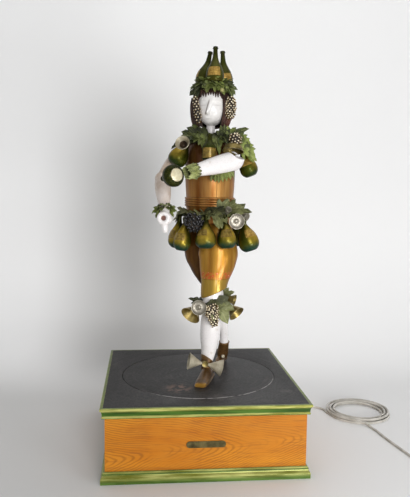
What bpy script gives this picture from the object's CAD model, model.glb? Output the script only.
"""Musical automaton: a figure of bottles, funnels, cups and vine leaves on a turntable cabinet."""

import random
from math import atan2, cos, exp, hypot, pi, radians, sin, sqrt

import bmesh
import bpy
from mathutils import Matrix, Vector


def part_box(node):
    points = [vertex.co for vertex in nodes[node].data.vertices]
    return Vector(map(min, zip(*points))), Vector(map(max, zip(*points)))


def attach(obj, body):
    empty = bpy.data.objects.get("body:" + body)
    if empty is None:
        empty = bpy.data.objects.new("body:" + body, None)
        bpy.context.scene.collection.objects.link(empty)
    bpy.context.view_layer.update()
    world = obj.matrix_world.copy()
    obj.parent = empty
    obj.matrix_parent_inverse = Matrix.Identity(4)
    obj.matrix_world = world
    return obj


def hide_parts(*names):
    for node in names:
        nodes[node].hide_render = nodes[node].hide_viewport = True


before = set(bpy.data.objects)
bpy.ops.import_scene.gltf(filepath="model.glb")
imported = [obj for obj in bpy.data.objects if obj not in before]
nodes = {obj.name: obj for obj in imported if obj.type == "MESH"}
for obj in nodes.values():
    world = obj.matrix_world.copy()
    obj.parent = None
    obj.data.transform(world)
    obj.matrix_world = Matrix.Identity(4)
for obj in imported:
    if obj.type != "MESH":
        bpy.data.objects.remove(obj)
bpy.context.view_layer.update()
chance = random.Random(11)

# Cabinet: half sizes over its panels, level of the deck and the round opening in it
PANEL_X, PANEL_Y = 0.239, 0.254
DECK_LEVEL = 0.1825
OPENING = 0.2066

# The figure's foot on the deck; figure points are measured from it
DECK = Vector((0.026, 0.004, DECK_LEVEL))
UPRIGHT = Matrix.Translation(DECK)
KNEE_LEVEL, BELT_LEVEL, COLLAR_LEVEL = 0.203, 0.435, 0.6405
BARREL_FOOT, BARREL_TOP = 0.4125, 0.6255
SHOULDER_FOOT, SHOULDER_TOP = 0.6258, 0.6398

# Height of the nod's pivot, height of the crown above it, turn of the head in degrees
NOD = 0.6813
CROWN = 0.0917
HEAD_YAW = -11.0

# Air between pieces that rest on each other, and at the joints of the limbs
TOUCH = 0.0003
SEAM = 0.0004

# Flex: thickness, height of its centre on the floor, outlet in the cabinet
CORD_DIAMETER = 0.0065
CORD_FLOOR = 0.00345
EXIT = (0.185, 0.2663, 0.05)

# Bottle outlines as shares of (radius, length), up to the neck
PEAR = ((0, 0), (0.4, 0.004), (0.6, 0.018), (0.86, 0.085), (0.99, 0.17), (1.0, 0.24), (0.96, 0.34), (0.84, 0.45),
        (0.62, 0.56), (0.41, 0.66), (0.27, 0.76))
TALL = ((0, 0.02), (0.6, 0.012), (0.84, 0.0), (0.97, 0.025), (1.0, 0.07), (1.0, 0.2), (0.93, 0.3), (0.8, 0.4),
        (0.6, 0.5), (0.42, 0.6), (0.3, 0.7))
STOUT = ((0, 0), (0.62, 0.006), (0.9, 0.05), (1.0, 0.16), (1.0, 0.46), (0.86, 0.57), (0.58, 0.67), (0.36, 0.76))


# Shapes

def spot(x, y, z):
    """World point of a figure point."""
    return DECK + Vector((x, y, z))


def aimed(origin, along, side=(1, 0, 0)):
    """Matrix whose Z runs along a direction and whose X leans to a side."""
    z_axis = Vector(along).normalized()
    x_axis = Vector(side) - z_axis * Vector(side).dot(z_axis)
    if x_axis.length < 1e-6:
        x_axis = Vector((0, 1, 0)) - z_axis * z_axis.y
    x_axis.normalize()
    turn = Matrix((x_axis, z_axis.cross(x_axis), z_axis)).transposed().to_4x4()
    return Matrix.Translation(Vector(origin)) @ turn


def sphere(u, v, matrix=None):
    bm = bmesh.new()
    bmesh.ops.create_uvsphere(bm, u_segments=u, v_segments=v, radius=1.0, matrix=matrix or Matrix())
    return bm


def moved(bm, matrix):
    bmesh.ops.transform(bm, matrix=matrix, verts=bm.verts)
    return bm


def mesh_from(bm, name):
    mesh = bpy.data.meshes.new(name)
    bm.to_mesh(mesh)
    bm.free()
    return mesh


def added(name, data):
    """New object in the scene."""
    made = bpy.data.objects.new(name, data)
    bpy.context.scene.collection.objects.link(made)
    return made


def faced(bm):
    bmesh.ops.recalc_face_normals(bm, faces=bm.faces)


def rectangle(bm, x, y, z):
    """Edges of a level rectangle from its half sizes."""
    corners = [bm.verts.new(c) for c in ((-x, -y, z), (x, -y, z), (x, y, z), (-x, y, z))]
    return [bm.edges.new(pair) for pair in zip(corners, corners[1:] + corners[:1])]


def once(items):
    """Each item one time, in the order they came."""
    return list(dict.fromkeys(items))


def pushed(bm, grown, shift):
    """Moves what an extrusion has made."""
    bmesh.ops.translate(bm, vec=shift, verts=[v for v in grown["geom"] if isinstance(v, bmesh.types.BMVert)])


def softened(bm, edges, width):
    bmesh.ops.bevel(bm, geom=edges, offset=width, segments=2, profile=0.5, affect="EDGES", material=-1)


def limited(value):
    return min(1.0, max(0.0, value))


def mm(*rows):
    """Rows of millimetres in metres."""
    return [[value / 1000 for value in row] for row in rows]


def eased(rows, per=4):
    """Rows of numbers with smooth in-between rows."""
    rows = [tuple(r) for r in rows]
    padded = [rows[0]] + rows + [rows[-1]]
    made = []
    for a, b, c, d in zip(padded, padded[1:], padded[2:], padded[3:]):
        for k in range(per):
            t = k / per
            made.append(tuple(0.5 * (2 * q + (r - p) * t + (2 * p - 5 * q + 4 * r - s) * t * t
                                     + (3 * q - p - 3 * r + s) * t ** 3) for p, q, r, s in zip(a, b, c, d)))
    made.append(rows[-1])
    return made


def turned(profile, steps=40, angle=2 * pi, closed=False):
    """Profile of (radius, height) points spun about Z."""
    bm = bmesh.new()
    verts = [bm.verts.new((r, 0, z)) for r, z in profile]
    pairs = list(zip(verts, verts[1:]))
    if closed:
        pairs.append((verts[-1], verts[0]))
    edges = [bm.edges.new(pair) for pair in pairs]
    full = angle > 2 * pi - 1e-6
    bmesh.ops.spin(bm, geom=verts + edges, cent=(0, 0, 0), axis=(0, 0, 1), angle=angle, steps=steps, use_merge=full)
    bmesh.ops.remove_doubles(bm, verts=bm.verts, dist=1e-6)
    faced(bm)
    return bm


def hoop(radius, thick, height=0.0, steps=48, tall=None, facets=8):
    """Closed ring of wire round Z."""
    angles = [radians(360 * k / facets) for k in range(facets)]
    return turned([(radius + thick * cos(a), height + (tall or thick) * sin(a)) for a in angles], steps, closed=True)


def lofted(sections, sides=28):
    """Ovals of (centre, half width, half height, direction) bridged into a closed skin."""
    bm = bmesh.new()
    loops = []
    for centre, wide, high, along in sections:
        place = aimed(centre, along) @ Matrix.Diagonal((wide, high, 1, 1))
        ring = bmesh.ops.create_circle(bm, segments=sides, radius=1.0, matrix=place)["verts"]
        loops.append(once(e for v in ring for e in v.link_edges))
    for low, high in zip(loops, loops[1:]):
        bmesh.ops.bridge_loops(bm, edges=low + high)
    bmesh.ops.holes_fill(bm, edges=bm.edges, sides=0)
    faced(bm)
    return bm


def limb(points, sides=28, ends=(None, None), per=4):
    """Loft along (x, y, z, half width, half height) figure points, eased between them."""
    rows = eased([p if len(p) > 4 else (*p, p[3]) for p in points], per)
    centres = [spot(*r[:3]) for r in rows]
    sections = []
    last = len(rows) - 1
    for i, row in enumerate(rows):
        along = centres[min(i + 1, last)] - centres[max(i - 1, 0)]
        for tilt, near in ((ends[0], i), (ends[1], last - i)):
            if tilt and near <= per:
                along = along.normalized().lerp(Vector(tilt).normalized(), 1 - near / (per + 1))
        sections.append((centres[i], row[3], row[4], along))
    return lofted(sections, sides)


def wire(start, end, radius=0.0011):
    """Short wire between two figure points."""
    a, b = spot(*start), spot(*end)
    return lofted([(a, radius, radius, b - a), (b, radius, radius, b - a)], 6)


def ball(centre, radii, u=24, v=16):
    return sphere(u, v, Matrix.Translation(spot(*centre)) @ Matrix.Diagonal((*radii, 1)))


def joined(parts):
    """One bmesh from several."""
    whole = bmesh.new()
    for part in parts:
        mesh = mesh_from(part, "part")
        whole.from_mesh(mesh)
        bpy.data.meshes.remove(mesh)
    return whole


def cut(bm, tool):
    """A bmesh less the inside of another."""
    work, knife = made = [added(name, mesh_from(shape, name)) for name, shape in (("work", bm), ("tool", tool))]
    step = work.modifiers.new("cut", "BOOLEAN")
    step.operation = "DIFFERENCE"
    step.solver = "EXACT"
    step.object = knife
    result = bmesh.new()
    result.from_object(work, bpy.context.evaluated_depsgraph_get())
    for thing in made:
        bpy.data.objects.remove(thing)
    return result


def piece(name, bm, finish, body, stands_for=(), smooth=40.0):
    """Finished object from a bmesh: smooth, painted, riding on its body."""
    mesh = mesh_from(bm, name)
    mesh.shade_smooth()
    mesh.set_sharp_from_angle(angle=radians(smooth))
    mesh.materials.append(finish)
    made = added(name, mesh)
    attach(made, body)
    if stands_for:
        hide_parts(*stands_for)
    return made


# Finishes

def shade(code):
    """Linear colour of a hex code."""
    parts = [int(code[i:i + 2], 16) / 255 for i in (0, 2, 4)]
    return tuple(p / 12.92 if p <= 0.04045 else ((p + 0.055) / 1.055) ** 2.4 for p in parts)


class Effect:
    """Node group under construction, or the tree of a material."""

    def __init__(self, tree):
        self.tree = tree

    def plug(self, socket, source):
        """Links a socket to a source, or gives it a plain value; a hex code is a colour."""
        if isinstance(source, str):
            source = shade(source)
        if isinstance(source, bpy.types.NodeSocket):
            self.tree.links.new(source, socket)
        elif socket.type == "RGBA" and len(source) == 3:
            socket.default_value = (*source, 1)
        else:
            socket.default_value = source

    def node(self, kind, feeds=None, **settings):
        made = self.tree.nodes.new("ShaderNode" + kind)
        for key, value in settings.items():
            setattr(made, key, value)
        for key, source in (feeds or {}).items():
            self.plug(made.inputs[key], source)
        return made

    def sum(self, operation, a, b=None, clamp=False):
        made = self.node("Math", operation=operation, use_clamp=clamp)
        for i, source in enumerate((a, b)):
            if source is not None:
                self.plug(made.inputs[i], source)
        return made.outputs[0]

    def times(self, a, b, clamp=False):
        return self.sum("MULTIPLY", a, b, clamp=clamp)

    def plus(self, a, b):
        return self.sum("ADD", a, b)

    def less(self, a, b):
        return self.sum("SUBTRACT", a, b)

    def mix(self, mask, a, b):
        made = self.node("Mix", data_type="RGBA", clamp_factor=True)
        for i, source in ((0, mask), (6, a), (7, b)):
            self.plug(made.inputs[i], source)
        return made.outputs[2]

    def tint(self, colour, mask, share, other):
        """Colour with a share of another where the mask says."""
        return self.mix(self.times(mask, share), colour, other)

    def span(self, value, low, high, to_low=0.0, to_high=1.0, smooth=True):
        made = self.node("MapRange", {"Value": value, "From Min": low, "From Max": high, "To Min": to_low,
                                      "To Max": to_high}, interpolation_type="SMOOTHSTEP" if smooth else "LINEAR")
        return made.outputs[0]

    def place(self):
        return self.node("TexCoord").outputs["Object"]

    def axes(self, vector=None):
        return self.node("SeparateXYZ", {0: vector or self.place()}).outputs

    def distance(self, point):
        return self.node("VectorMath", {0: self.place(), 1: point}, operation="DISTANCE").outputs["Value"]

    def stretch(self, scale, shift=(0, 0, 0)):
        return self.node("Mapping", {"Vector": self.place(), "Scale": scale, "Location": shift}).outputs[0]

    def noise(self, scale, detail, vector=None):
        return self.node("TexNoise", {"Vector": vector or self.place(), "Scale": scale, "Detail": detail,
                                      "Roughness": 0.55}).outputs[0]

    def use(self, group, **values):
        made = self.node("Group")
        made.node_tree = group
        for key, source in values.items():
            self.plug(made.inputs[key.replace("_", " ")], source)
        return made.outputs

    def ramp(self, value, stops):
        made = self.node("ValToRGB", {0: value})
        bands = made.color_ramp
        bands.interpolation = "LINEAR"
        stops = [(at, (*(shade(colour) if isinstance(colour, str) else colour), 1)) for at, colour in stops]
        for element, stop in ((bands.elements[0], stops[0]), (bands.elements[1], stops[-1])):
            element.position, element.color = stop
        for at, colour in stops[1:-1]:
            bands.elements.new(at).color = colour
        return made.outputs[0]


def new_effect(name, ins, outs):
    """Empty node group with its named sockets."""
    tree = bpy.data.node_groups.new(name, "ShaderNodeTree")
    for label, kind, value in ins:
        tree.interface.new_socket(label, in_out="INPUT", socket_type=kind).default_value = value
    for label, kind in outs:
        tree.interface.new_socket(label, in_out="OUTPUT", socket_type=kind)
    return Effect(tree), tree.nodes.new("NodeGroupInput").outputs, tree.nodes.new("NodeGroupOutput").inputs


FLOAT = "NodeSocketFloat"


def make_worn_edges():
    """Mask of rubbed edges, broken up by a grain."""
    work, given, result = new_effect("worn edges",
                                     [("Reach", FLOAT, 0.002), ("Grain", FLOAT, 60.0), ("Amount", FLOAT, 1.0)],
                                     [("Mask", FLOAT)])
    soft = work.node("Bevel", {"Radius": given["Reach"]}, samples=4).outputs[0]
    plain = work.node("NewGeometry").outputs["Normal"]
    facing = work.node("VectorMath", {0: soft, 1: plain}, operation="DOT_PRODUCT").outputs["Value"]
    edge = work.span(facing, 0.995, 0.86)
    grain = work.span(work.noise(given["Grain"], 4.0), 0.36, 0.62)
    work.plug(result["Mask"], work.times(work.times(edge, grain), given["Amount"], clamp=True))
    return work.tree


def make_settled_dust():
    """Mask of dust on faces that look up."""
    work, given, result = new_effect("settled dust", [("Amount", FLOAT, 0.3), ("Grain", FLOAT, 40.0)],
                                     [("Mask", FLOAT)])
    up = work.axes(work.node("NewGeometry").outputs["Normal"])["Z"]
    cloud = work.span(work.noise(given["Grain"], 4.0), 0.3, 0.75)
    mask = work.times(work.span(up, 0.15, 0.95), cloud)
    work.plug(result["Mask"], work.times(mask, given["Amount"], clamp=True))
    return work.tree


def make_mottle():
    """Broad cloudy mask and a fine one, for paint laid on by hand."""
    work, given, result = new_effect("hand mottle", [("Broad", FLOAT, 12.0), ("Fine", FLOAT, 120.0)],
                                     [("Cloud", FLOAT), ("Speck", FLOAT)])
    work.plug(result["Cloud"], work.span(work.noise(given["Broad"], 3.0), 0.32, 0.68))
    work.plug(result["Speck"], work.span(work.noise(given["Fine"], 5.0), 0.35, 0.65))
    return work.tree


def make_staves():
    """Joint lines and a tone for each stave round an upright axis."""
    work, given, result = new_effect(
        "staves", [("Axis X", FLOAT, 0.026), ("Axis Y", FLOAT, 0.004), ("Count", FLOAT, 18.0), ("Line", FLOAT, 0.06)],
        [("Joint", FLOAT), ("Tone", FLOAT)])
    at = work.axes()
    angle = work.sum("ARCTAN2", work.less(at["Y"], given["Axis Y"]), work.less(at["X"], given["Axis X"]))
    turn = work.times(work.sum("DIVIDE", angle, 2 * pi), given["Count"])
    across = work.sum("ABSOLUTE", work.less(work.sum("FRACT", turn), 0.5))
    edge = work.less(0.5, given["Line"])
    tone = work.node("TexWhiteNoise", {"W": work.sum("FLOOR", turn)}, noise_dimensions="1D").outputs[0]
    work.plug(result["Joint"], work.span(across, edge, 0.5))
    work.plug(result["Tone"], tone)
    return work.tree


WORN, DUST, MOTTLE, STAVES = make_worn_edges(), make_settled_dust(), make_mottle(), make_staves()


class Finish(Effect):
    """Material under construction round one Principled BSDF."""

    def __init__(self, name, **plain):
        self.material = bpy.data.materials.new(name)
        self.material.use_nodes = True
        super().__init__(self.material.node_tree)
        self.shader = self.tree.nodes["Principled BSDF"]
        for key, value in plain.items():
            self.plug(self.shader.inputs[key.replace("_", " ")], value)

    def own(self, name):
        """Value that the piece's own points carry."""
        return self.node("Attribute", attribute_name=name).outputs["Fac"]

    def mottled(self, broad, fine):
        return self.use(MOTTLE, Broad=broad, Fine=fine)

    def rubbed(self, colour, reach, grain, amount, bare):
        return self.mix(self.use(WORN, Reach=reach, Grain=grain, Amount=amount)["Mask"], colour, bare)

    def dusted(self, colour, amount, grain, dust):
        return self.mix(self.use(DUST, Amount=amount, Grain=grain)["Mask"], colour, dust)

    def speckled(self, colour, cloud, rough, depth, strength, metal=None):
        """Coat whose gloss and grain both follow the fine specks."""
        return self.coat(colour, self.span(cloud["Speck"], 0, 1, *rough), metal, height=cloud["Speck"], depth=depth,
                         strength=strength)

    def coat(self, colour=None, rough=None, metal=None, height=None, depth=0.0006, strength=0.5):
        """Feeds the shader; what is left out keeps its plain value."""
        for key, source in (("Base Color", colour), ("Roughness", rough), ("Metallic", metal)):
            if source is not None:
                self.plug(self.shader.inputs[key], source)
        if height is not None:
            bump = self.node("Bump", {"Height": height, "Strength": strength, "Distance": depth})
            self.plug(self.shader.inputs["Normal"], bump.outputs[0])
        return self.material


def oak_finish():
    """Varnished oak: nested cathedral arches that point right, over fine pores."""
    f = Finish("oak panel", Coat_Weight=0.08, Coat_Roughness=0.3, Specular_IOR_Level=0.2)
    at = f.axes()
    along = f.plus(at["X"], at["Y"])
    drift = f.less(f.noise(3.4, 2.0), 0.5)
    rise = f.less(at["Z"], f.plus(f.times(along, 0.1), 0.104))
    rise = f.plus(rise, f.times(drift, 0.05))
    bow = f.sum("SQRT", f.plus(f.times(rise, rise), 0.00012))
    arch = f.plus(along, f.times(bow, 3.6))
    ripple = f.times(f.less(f.noise(38.0, 3.0, f.stretch((0.7, 0.7, 2.2))), 0.5), 0.02)
    arch = f.plus(arch, f.plus(ripple, f.times(f.noise(7.0, 2.0), 0.05)))
    wave = f.sum("PINGPONG", f.times(arch, 50.0), 0.5)
    ring = f.times(f.span(wave, 0.3, 0.02), f.span(f.noise(13.0, 3.0), 0.3, 0.62))
    broad = f.span(f.sum("PINGPONG", f.times(arch, 9.0), 0.5), 0.1, 0.4)
    pores = f.span(f.noise(170.0, 3.0, f.stretch((0.09, 0.09, 1.8))), 0.5, 0.72)
    ground = f.mix(f.span(f.noise(6.0, 3.0, f.stretch((0.5, 0.5, 2.0))), 0.3, 0.7), "B46A12", "CC8420")
    ground = f.tint(ground, broad, 0.35, "BC7820")
    ground = f.tint(ground, ring, 0.55, "7A4410")
    ground = f.tint(ground, pores, 0.42, "7E4718")
    ground = f.tint(ground, f.span(at["Z"], 0.042, 0.026), 0.35, "6E3C14")
    rough = f.span(pores, 0.0, 1.0, 0.36, 0.6)
    return f.coat(ground, rough, height=f.less(0.6, pores), depth=0.0003, strength=0.35)


def gilt_finish(name, low, high, bands):
    """Green moulding whose raised members are gilt, banded by height."""
    f = Finish(name, Coat_Weight=0.15, Coat_Roughness=0.25, Specular_IOR_Level=0.35)
    at = f.axes()
    level = f.span(f.plus(at["Z"], f.times(f.less(f.noise(70.0, 3.0), 0.5), 0.0012)), low, high, smooth=False)
    gold = f.node("SeparateColor", {0: f.ramp(level, [(at, (value, 0, 0)) for at, value in bands])}).outputs[0]
    streak = f.span(f.noise(40.0, 4.0, f.stretch((0.25, 0.25, 3.0))), 0.3, 0.7)
    green = f.mix(streak, "1C4204", "386408")
    gilt = f.mix(streak, "86862A", "DAD684")
    colour = f.mix(gold, green, gilt)
    colour = f.rubbed(colour, 0.0016, 90.0, 0.65, "C9C77A")
    return f.coat(colour, f.span(streak, 0, 1, 0.3, 0.44), f.times(gold, 0.65), height=streak, depth=0.0003,
                  strength=0.3)


def slate_finish(name, edge_amount):
    """Matt slate-grey paint, rubbed round the turntable and at the edges."""
    f = Finish(name, Specular_IOR_Level=0.22)
    at = f.axes()
    far = f.sum("SQRT", f.plus(f.times(at["X"], at["X"]), f.times(at["Y"], at["Y"])))
    turn = f.sum("ARCTAN2", at["Y"], at["X"])
    swirl = f.node("CombineXYZ", {0: f.times(far, 110.0), 1: f.times(turn, 1.3)}).outputs[0]
    rub = f.span(f.noise(1.0, 4.0, swirl), 0.5, 0.76)
    cloud = f.mottled(7.0, 210.0)
    colour = f.mix(cloud["Cloud"], "1A1819", "282627")
    colour = f.tint(colour, rub, 0.3, "5E5654")
    blotch = f.times(f.span(f.noise(17.0, 4.0), 0.56, 0.74), f.span(at["Y"], 0.05, -0.2))
    colour = f.tint(colour, blotch, 0.3, "77706C")
    scuff = f.distance((-0.062, -0.122, DECK_LEVEL))
    mark = f.times(f.span(scuff, 0.05, 0.006), f.span(f.noise(70.0, 4.0), 0.44, 0.62))
    colour = f.tint(colour, mark, 0.6, "9A7664")
    for x, y in ((0.132, 0.012), (0.139, 0.016)):
        colour = f.mix(f.span(f.distance((x, y, DECK_LEVEL)), 0.005, 0.0034), colour, "1C1A1A")
    colour = f.dusted(colour, 0.05, 26.0, "6E6A68")
    front = f.times(f.span(at["Y"], 0.02, -0.12), f.span(at["X"], -0.17, -0.06))
    edge = f.times(f.span(far, 0.2028, 0.204), f.span(far, 0.2066, 0.2052))
    edge = f.times(edge, f.times(front, f.span(f.noise(60.0, 3.0), 0.34, 0.52)))
    colour = f.tint(colour, edge, edge_amount, "C4BEBC")
    colour = f.rubbed(colour, 0.0012, 45.0, 0.6, "8E8886")
    rough = f.span(cloud["Speck"], 0, 1, 0.44, 0.52)
    return f.coat(colour, rough)


def stave_gold_finish(name, axis, count, dark, mid, light, edge, hem=None):
    """Bronze-gold paint over staves, with brush marks that run down them."""
    f = Finish(name, Coat_Weight=0.25, Coat_Roughness=0.16, Specular_Tint=edge)
    staves = f.use(STAVES, Axis_X=axis[0], Axis_Y=axis[1], Count=count, Line=0.045)
    streak = f.span(f.noise(34.0, 4.0, f.stretch((1.6, 1.6, 0.1))), 0.3, 0.7)
    broad = f.span(f.noise(11.0, 3.0, f.stretch((1.0, 1.0, 0.35))), 0.3, 0.7)
    colour = f.mix(broad, dark, mid)
    colour = f.tint(colour, streak, 0.45, light)
    colour = f.tint(colour, staves["Tone"], 0.25, dark)
    if hem:
        colour = hem(f, colour)
    else:
        colour = f.tint(colour, f.span(f.axes()["Z"], 0.7, 0.735), 0.72, "2A1006")
    colour = f.tint(colour, staves["Joint"], 0.6, "4A2A10")
    colour = f.rubbed(colour, 0.0016, 120.0, 0.5, "D9B46A")
    rough = f.span(streak, 0, 1, 0.3, 0.44)
    height = f.less(f.times(streak, 0.25), staves["Joint"])
    return f.coat(colour, rough, f.span(staves["Joint"], 0, 1, 0.5, 0.1), height=height, depth=0.0007, strength=0.5)


def painted_hem(f, colour):
    """Red flower band round the leg above a bright gold hem."""
    level = f.axes()["Z"]
    flowers = f.node("TexVoronoi", {"Vector": f.place(), "Scale": 120.0}).outputs["Distance"]
    band = f.times(f.span(level, 0.452, 0.455), f.span(level, 0.472, 0.468))
    petals = f.times(band, f.span(flowers, 0.52, 0.34))
    colour = f.tint(colour, band, 0.35, "D08040")
    colour = f.tint(colour, petals, 0.8, "C04A28")
    colour = f.tint(colour, f.times(band, f.span(flowers, 0.22, 0.12)), 0.8, "EBC9A0")
    rule = f.times(f.span(level, 0.45, 0.451), f.span(level, 0.4525, 0.4515))
    colour = f.tint(colour, f.span(level, 0.452, 0.4495), 0.62, "A08A3C")
    return f.tint(colour, rule, 0.6, "7A5A1C")


def composition_finish(name, warm):
    """White painted composition with a soft gloss, a little yellowed and rubbed."""
    f = Finish(name, Coat_Weight=0.25, Coat_Roughness=0.2, Subsurface_Weight=0.0)
    cloud = f.mottled(16.0, 260.0)
    colour = f.mix(f.times(f.plus(f.times(cloud["Cloud"], 0.5), 0.5), warm), "F4F1F1", "B89C80")
    colour = f.tint(colour, f.span(f.noise(45.0, 4.0), 0.62, 0.72), 0.35, "C8B9A6")
    colour = f.rubbed(colour, 0.0012, 140.0, 0.35, "CBB79C")
    colour = f.dusted(colour, 0.12, 60.0, "D9D3CA")
    return f.speckled(colour, cloud, (0.26, 0.4), 0.00012, 0.25)


def face_finish():
    """The composition white with faint painted lids and lips from the piece's own marks."""
    f = Finish("face paint", Coat_Weight=0.25, Coat_Roughness=0.2)
    cloud = f.mottled(20.0, 300.0)
    colour = f.mix(f.times(cloud["Cloud"], 0.18), "EEECEA", "E0D6CC")
    colour = f.tint(colour, f.own("warm"), 0.62, "B99B7E")
    colour = f.tint(colour, f.own("mark"), 0.75, "6E5E52")
    return f.speckled(colour, cloud, (0.28, 0.4), 0.0001, 0.2)


def bottle_finish(name, foot, body, glow, edge, metal=0.8):
    """Bottle-green lacquer, dusted with gold on the side of the belly that faces outwards."""
    f = Finish(name, Coat_Weight=0.12, Coat_Roughness=0.1, Specular_IOR_Level=0.2, Specular_Tint=edge)
    cloud = f.mottled(45.0, 420.0)
    level = f.plus(f.own("rise"), f.times(f.less(cloud["Cloud"], 0.5), 0.06))
    belly = f.span(f.plus(f.own("belly"), f.times(f.less(cloud["Cloud"], 0.5), 0.25)), 0.25, 1.05)
    gold = f.mix(belly, body, glow)
    colour = f.ramp(level, ((0.0, foot), (0.06, foot), (0.2, body), (0.52, body), (0.72, "262E10"), (0.93, "1A200C")))
    height = f.times(f.span(level, 0.06, 0.4), f.span(level, 0.8, 0.44))
    colour = f.mix(height, colour, gold)
    colour = f.tint(colour, cloud["Speck"], 0.18, "7A722A")
    return f.speckled(colour, cloud, (0.3, 0.4), 0.00015, 0.2, f.span(level, 0.05, 0.4, 0.35, metal))


def label_finish(name, pale, deep, ruled=True):
    """Plain gilt paper with a darker border rule, from the label's own map."""
    f = Finish(name, Coat_Weight=0.1)
    uv = f.axes(f.node("UVMap", uv_map="label").outputs[0])
    side = f.sum("ABSOLUTE", f.less(uv["X"], 0.5))
    height = f.sum("ABSOLUTE", f.less(uv["Y"], 0.5))
    near = f.sum("MAXIMUM", side, height)
    rule = f.times(f.span(near, 0.38, 0.4), f.span(near, 0.45, 0.43))
    if ruled:
        lines = f.span(f.sum("PINGPONG", f.times(uv["Y"], 4.0), 0.5), 0.14, 0.08)
        lines = f.times(lines, f.times(f.span(side, 0.3, 0.26), f.span(height, 0.32, 0.28)))
        rule = f.sum("MAXIMUM", rule, f.times(lines, 0.8))
    crease = f.span(f.noise(160.0, 5.0), 0.32, 0.68)
    colour = f.mix(crease, deep, pale)
    colour = f.tint(colour, rule, 0.55, "7A4E1C")
    colour = f.tint(colour, f.span(f.noise(70.0, 3.0), 0.58, 0.7), 0.4, "6E6226")
    return f.coat(colour, f.span(crease, 0, 1, 0.3, 0.45), 0.45, height=crease, depth=0.0002, strength=0.3)


def sheet_metal_finish(name, dull, bright, rough=(0.28, 0.42), metal=0.9):
    """Thin spun metal, a little tarnished."""
    f = Finish(name)
    cloud = f.mottled(55.0, 300.0)
    colour = f.mix(cloud["Cloud"], dull, bright)
    colour = f.rubbed(colour, 0.001, 200.0, 0.6, "F2ECD8")
    colour = f.tint(colour, f.span(f.noise(90.0, 4.0), 0.6, 0.75), 0.3, "6C6048")
    return f.speckled(colour, cloud, rough, 0.00006, 0.15, metal)


def leaf_finish(name, deep, fresh, pale):
    """Painted cloth leaf: ribs from the leaf's own map, tone from leaf to leaf."""
    f = Finish(name, Specular_IOR_Level=0.35)
    uv = f.axes(f.node("UVMap", uv_map="leaf").outputs[0])
    tone = f.own("tone")
    across = f.sum("ABSOLUTE", uv["Y"])
    rib = f.span(across, 0.028, 0.01)
    slant = f.less(uv["X"], f.times(across, 0.9))
    vein = f.span(f.sum("PINGPONG", f.times(slant, 7.0), 0.5), 0.1, 0.03)
    cloud = f.mottled(70.0, 380.0)
    colour = f.mix(f.sum("POWER", tone, 1.4), deep, fresh)
    colour = f.tint(colour, f.times(cloud["Cloud"], tone), 0.45, pale)
    colour = f.tint(colour, f.sum("MAXIMUM", rib, f.times(vein, 0.7)), 0.35, pale)
    edge = f.plus(across, f.times(f.less(uv["X"], 0.5), 0.3))
    colour = f.tint(colour, f.span(edge, 0.34, 0.5), 0.3, "1E2A0C")
    colour = f.tint(colour, f.span(uv["X"], 0.5, 0.05), 0.75, "0E1204")
    colour = f.dusted(colour, 0.1, 150.0, "8E9268")
    height = f.less(cloud["Speck"], f.sum("MAXIMUM", rib, vein))
    return f.coat(colour, f.span(cloud["Speck"], 0, 1, 0.45, 0.62), height=height, depth=0.0004, strength=0.45)


def grape_finish(name, body, middle, bloom, metal, rough, shine=0.4, reach=(0.25, 0.8)):
    """Round beads, each a little different, with a bloom."""
    f = Finish(name, Metallic=metal, Coat_Weight=shine, Coat_Roughness=0.08, Specular_IOR_Level=0.3)
    tone = f.own("tone")
    haze = f.span(f.noise(240.0, 3.0), 0.42, 0.66)
    dab = f.span(f.own("dab"), *reach)
    colour = f.mix(f.times(haze, tone), body, middle)
    colour = f.mix(f.times(dab, f.span(tone, 0, 1, 0.55, 1.0)), colour, bloom)
    return f.coat(colour, f.span(haze, 0, 1, rough, rough + 0.14), height=haze, depth=0.0002, strength=0.2)


def hair_finish():
    """Dark brown hair; the strands run down round the head's axis."""
    f = Finish("brown hair", Specular_IOR_Level=0.5)
    at = f.axes(f.stretch((1, 1, 1), shift=(-0.027, -0.012, 0)))
    turn = f.sum("ARCTAN2", at["Y"], at["X"])
    strand_at = f.node("CombineXYZ", {0: f.times(turn, 42.0), 1: f.times(at["Z"], 26.0)}).outputs[0]
    strand = f.span(f.noise(1.0, 4.0, strand_at), 0.34, 0.66)
    lock = f.span(f.noise(0.28, 2.0, strand_at), 0.36, 0.64)
    colour = f.mix(strand, "160C08", "4A2E22")
    colour = f.tint(colour, lock, 0.35, "5A3A2C")
    sun = f.axes()
    red = f.times(f.span(sun["X"], 0.045, 0.075), f.span(sun["Z"], 0.895, 0.86))
    colour = f.tint(colour, red, 0.6, "7E4A3A")
    return f.coat(colour, f.span(strand, 0, 1, 0.38, 0.58), height=f.plus(strand, lock), depth=0.0016, strength=0.9)


def shoe_finish():
    """Bronzed brown leather paint with a gold toe and rubbed edges."""
    f = Finish("bronze shoe", Coat_Weight=0.35, Coat_Roughness=0.2)
    at = f.axes()
    cloud = f.mottled(38.0, 260.0)
    colour = f.mix(cloud["Cloud"], "3E2814", "6E4E2A")
    colour = f.tint(colour, cloud["Speck"], 0.25, "94703E")
    toe = f.times(f.span(at["Y"], -0.113, -0.117), f.span(at["Z"], 0.196, 0.19))
    colour = f.tint(colour, toe, 0.8, "B48632")
    colour = f.rubbed(colour, 0.002, 150.0, 0.7, "C79B55")
    return f.coat(colour, f.span(cloud["Speck"], 0, 1, 0.28, 0.46), 0.35, height=cloud["Cloud"], depth=0.0006,
                  strength=0.3)


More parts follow.
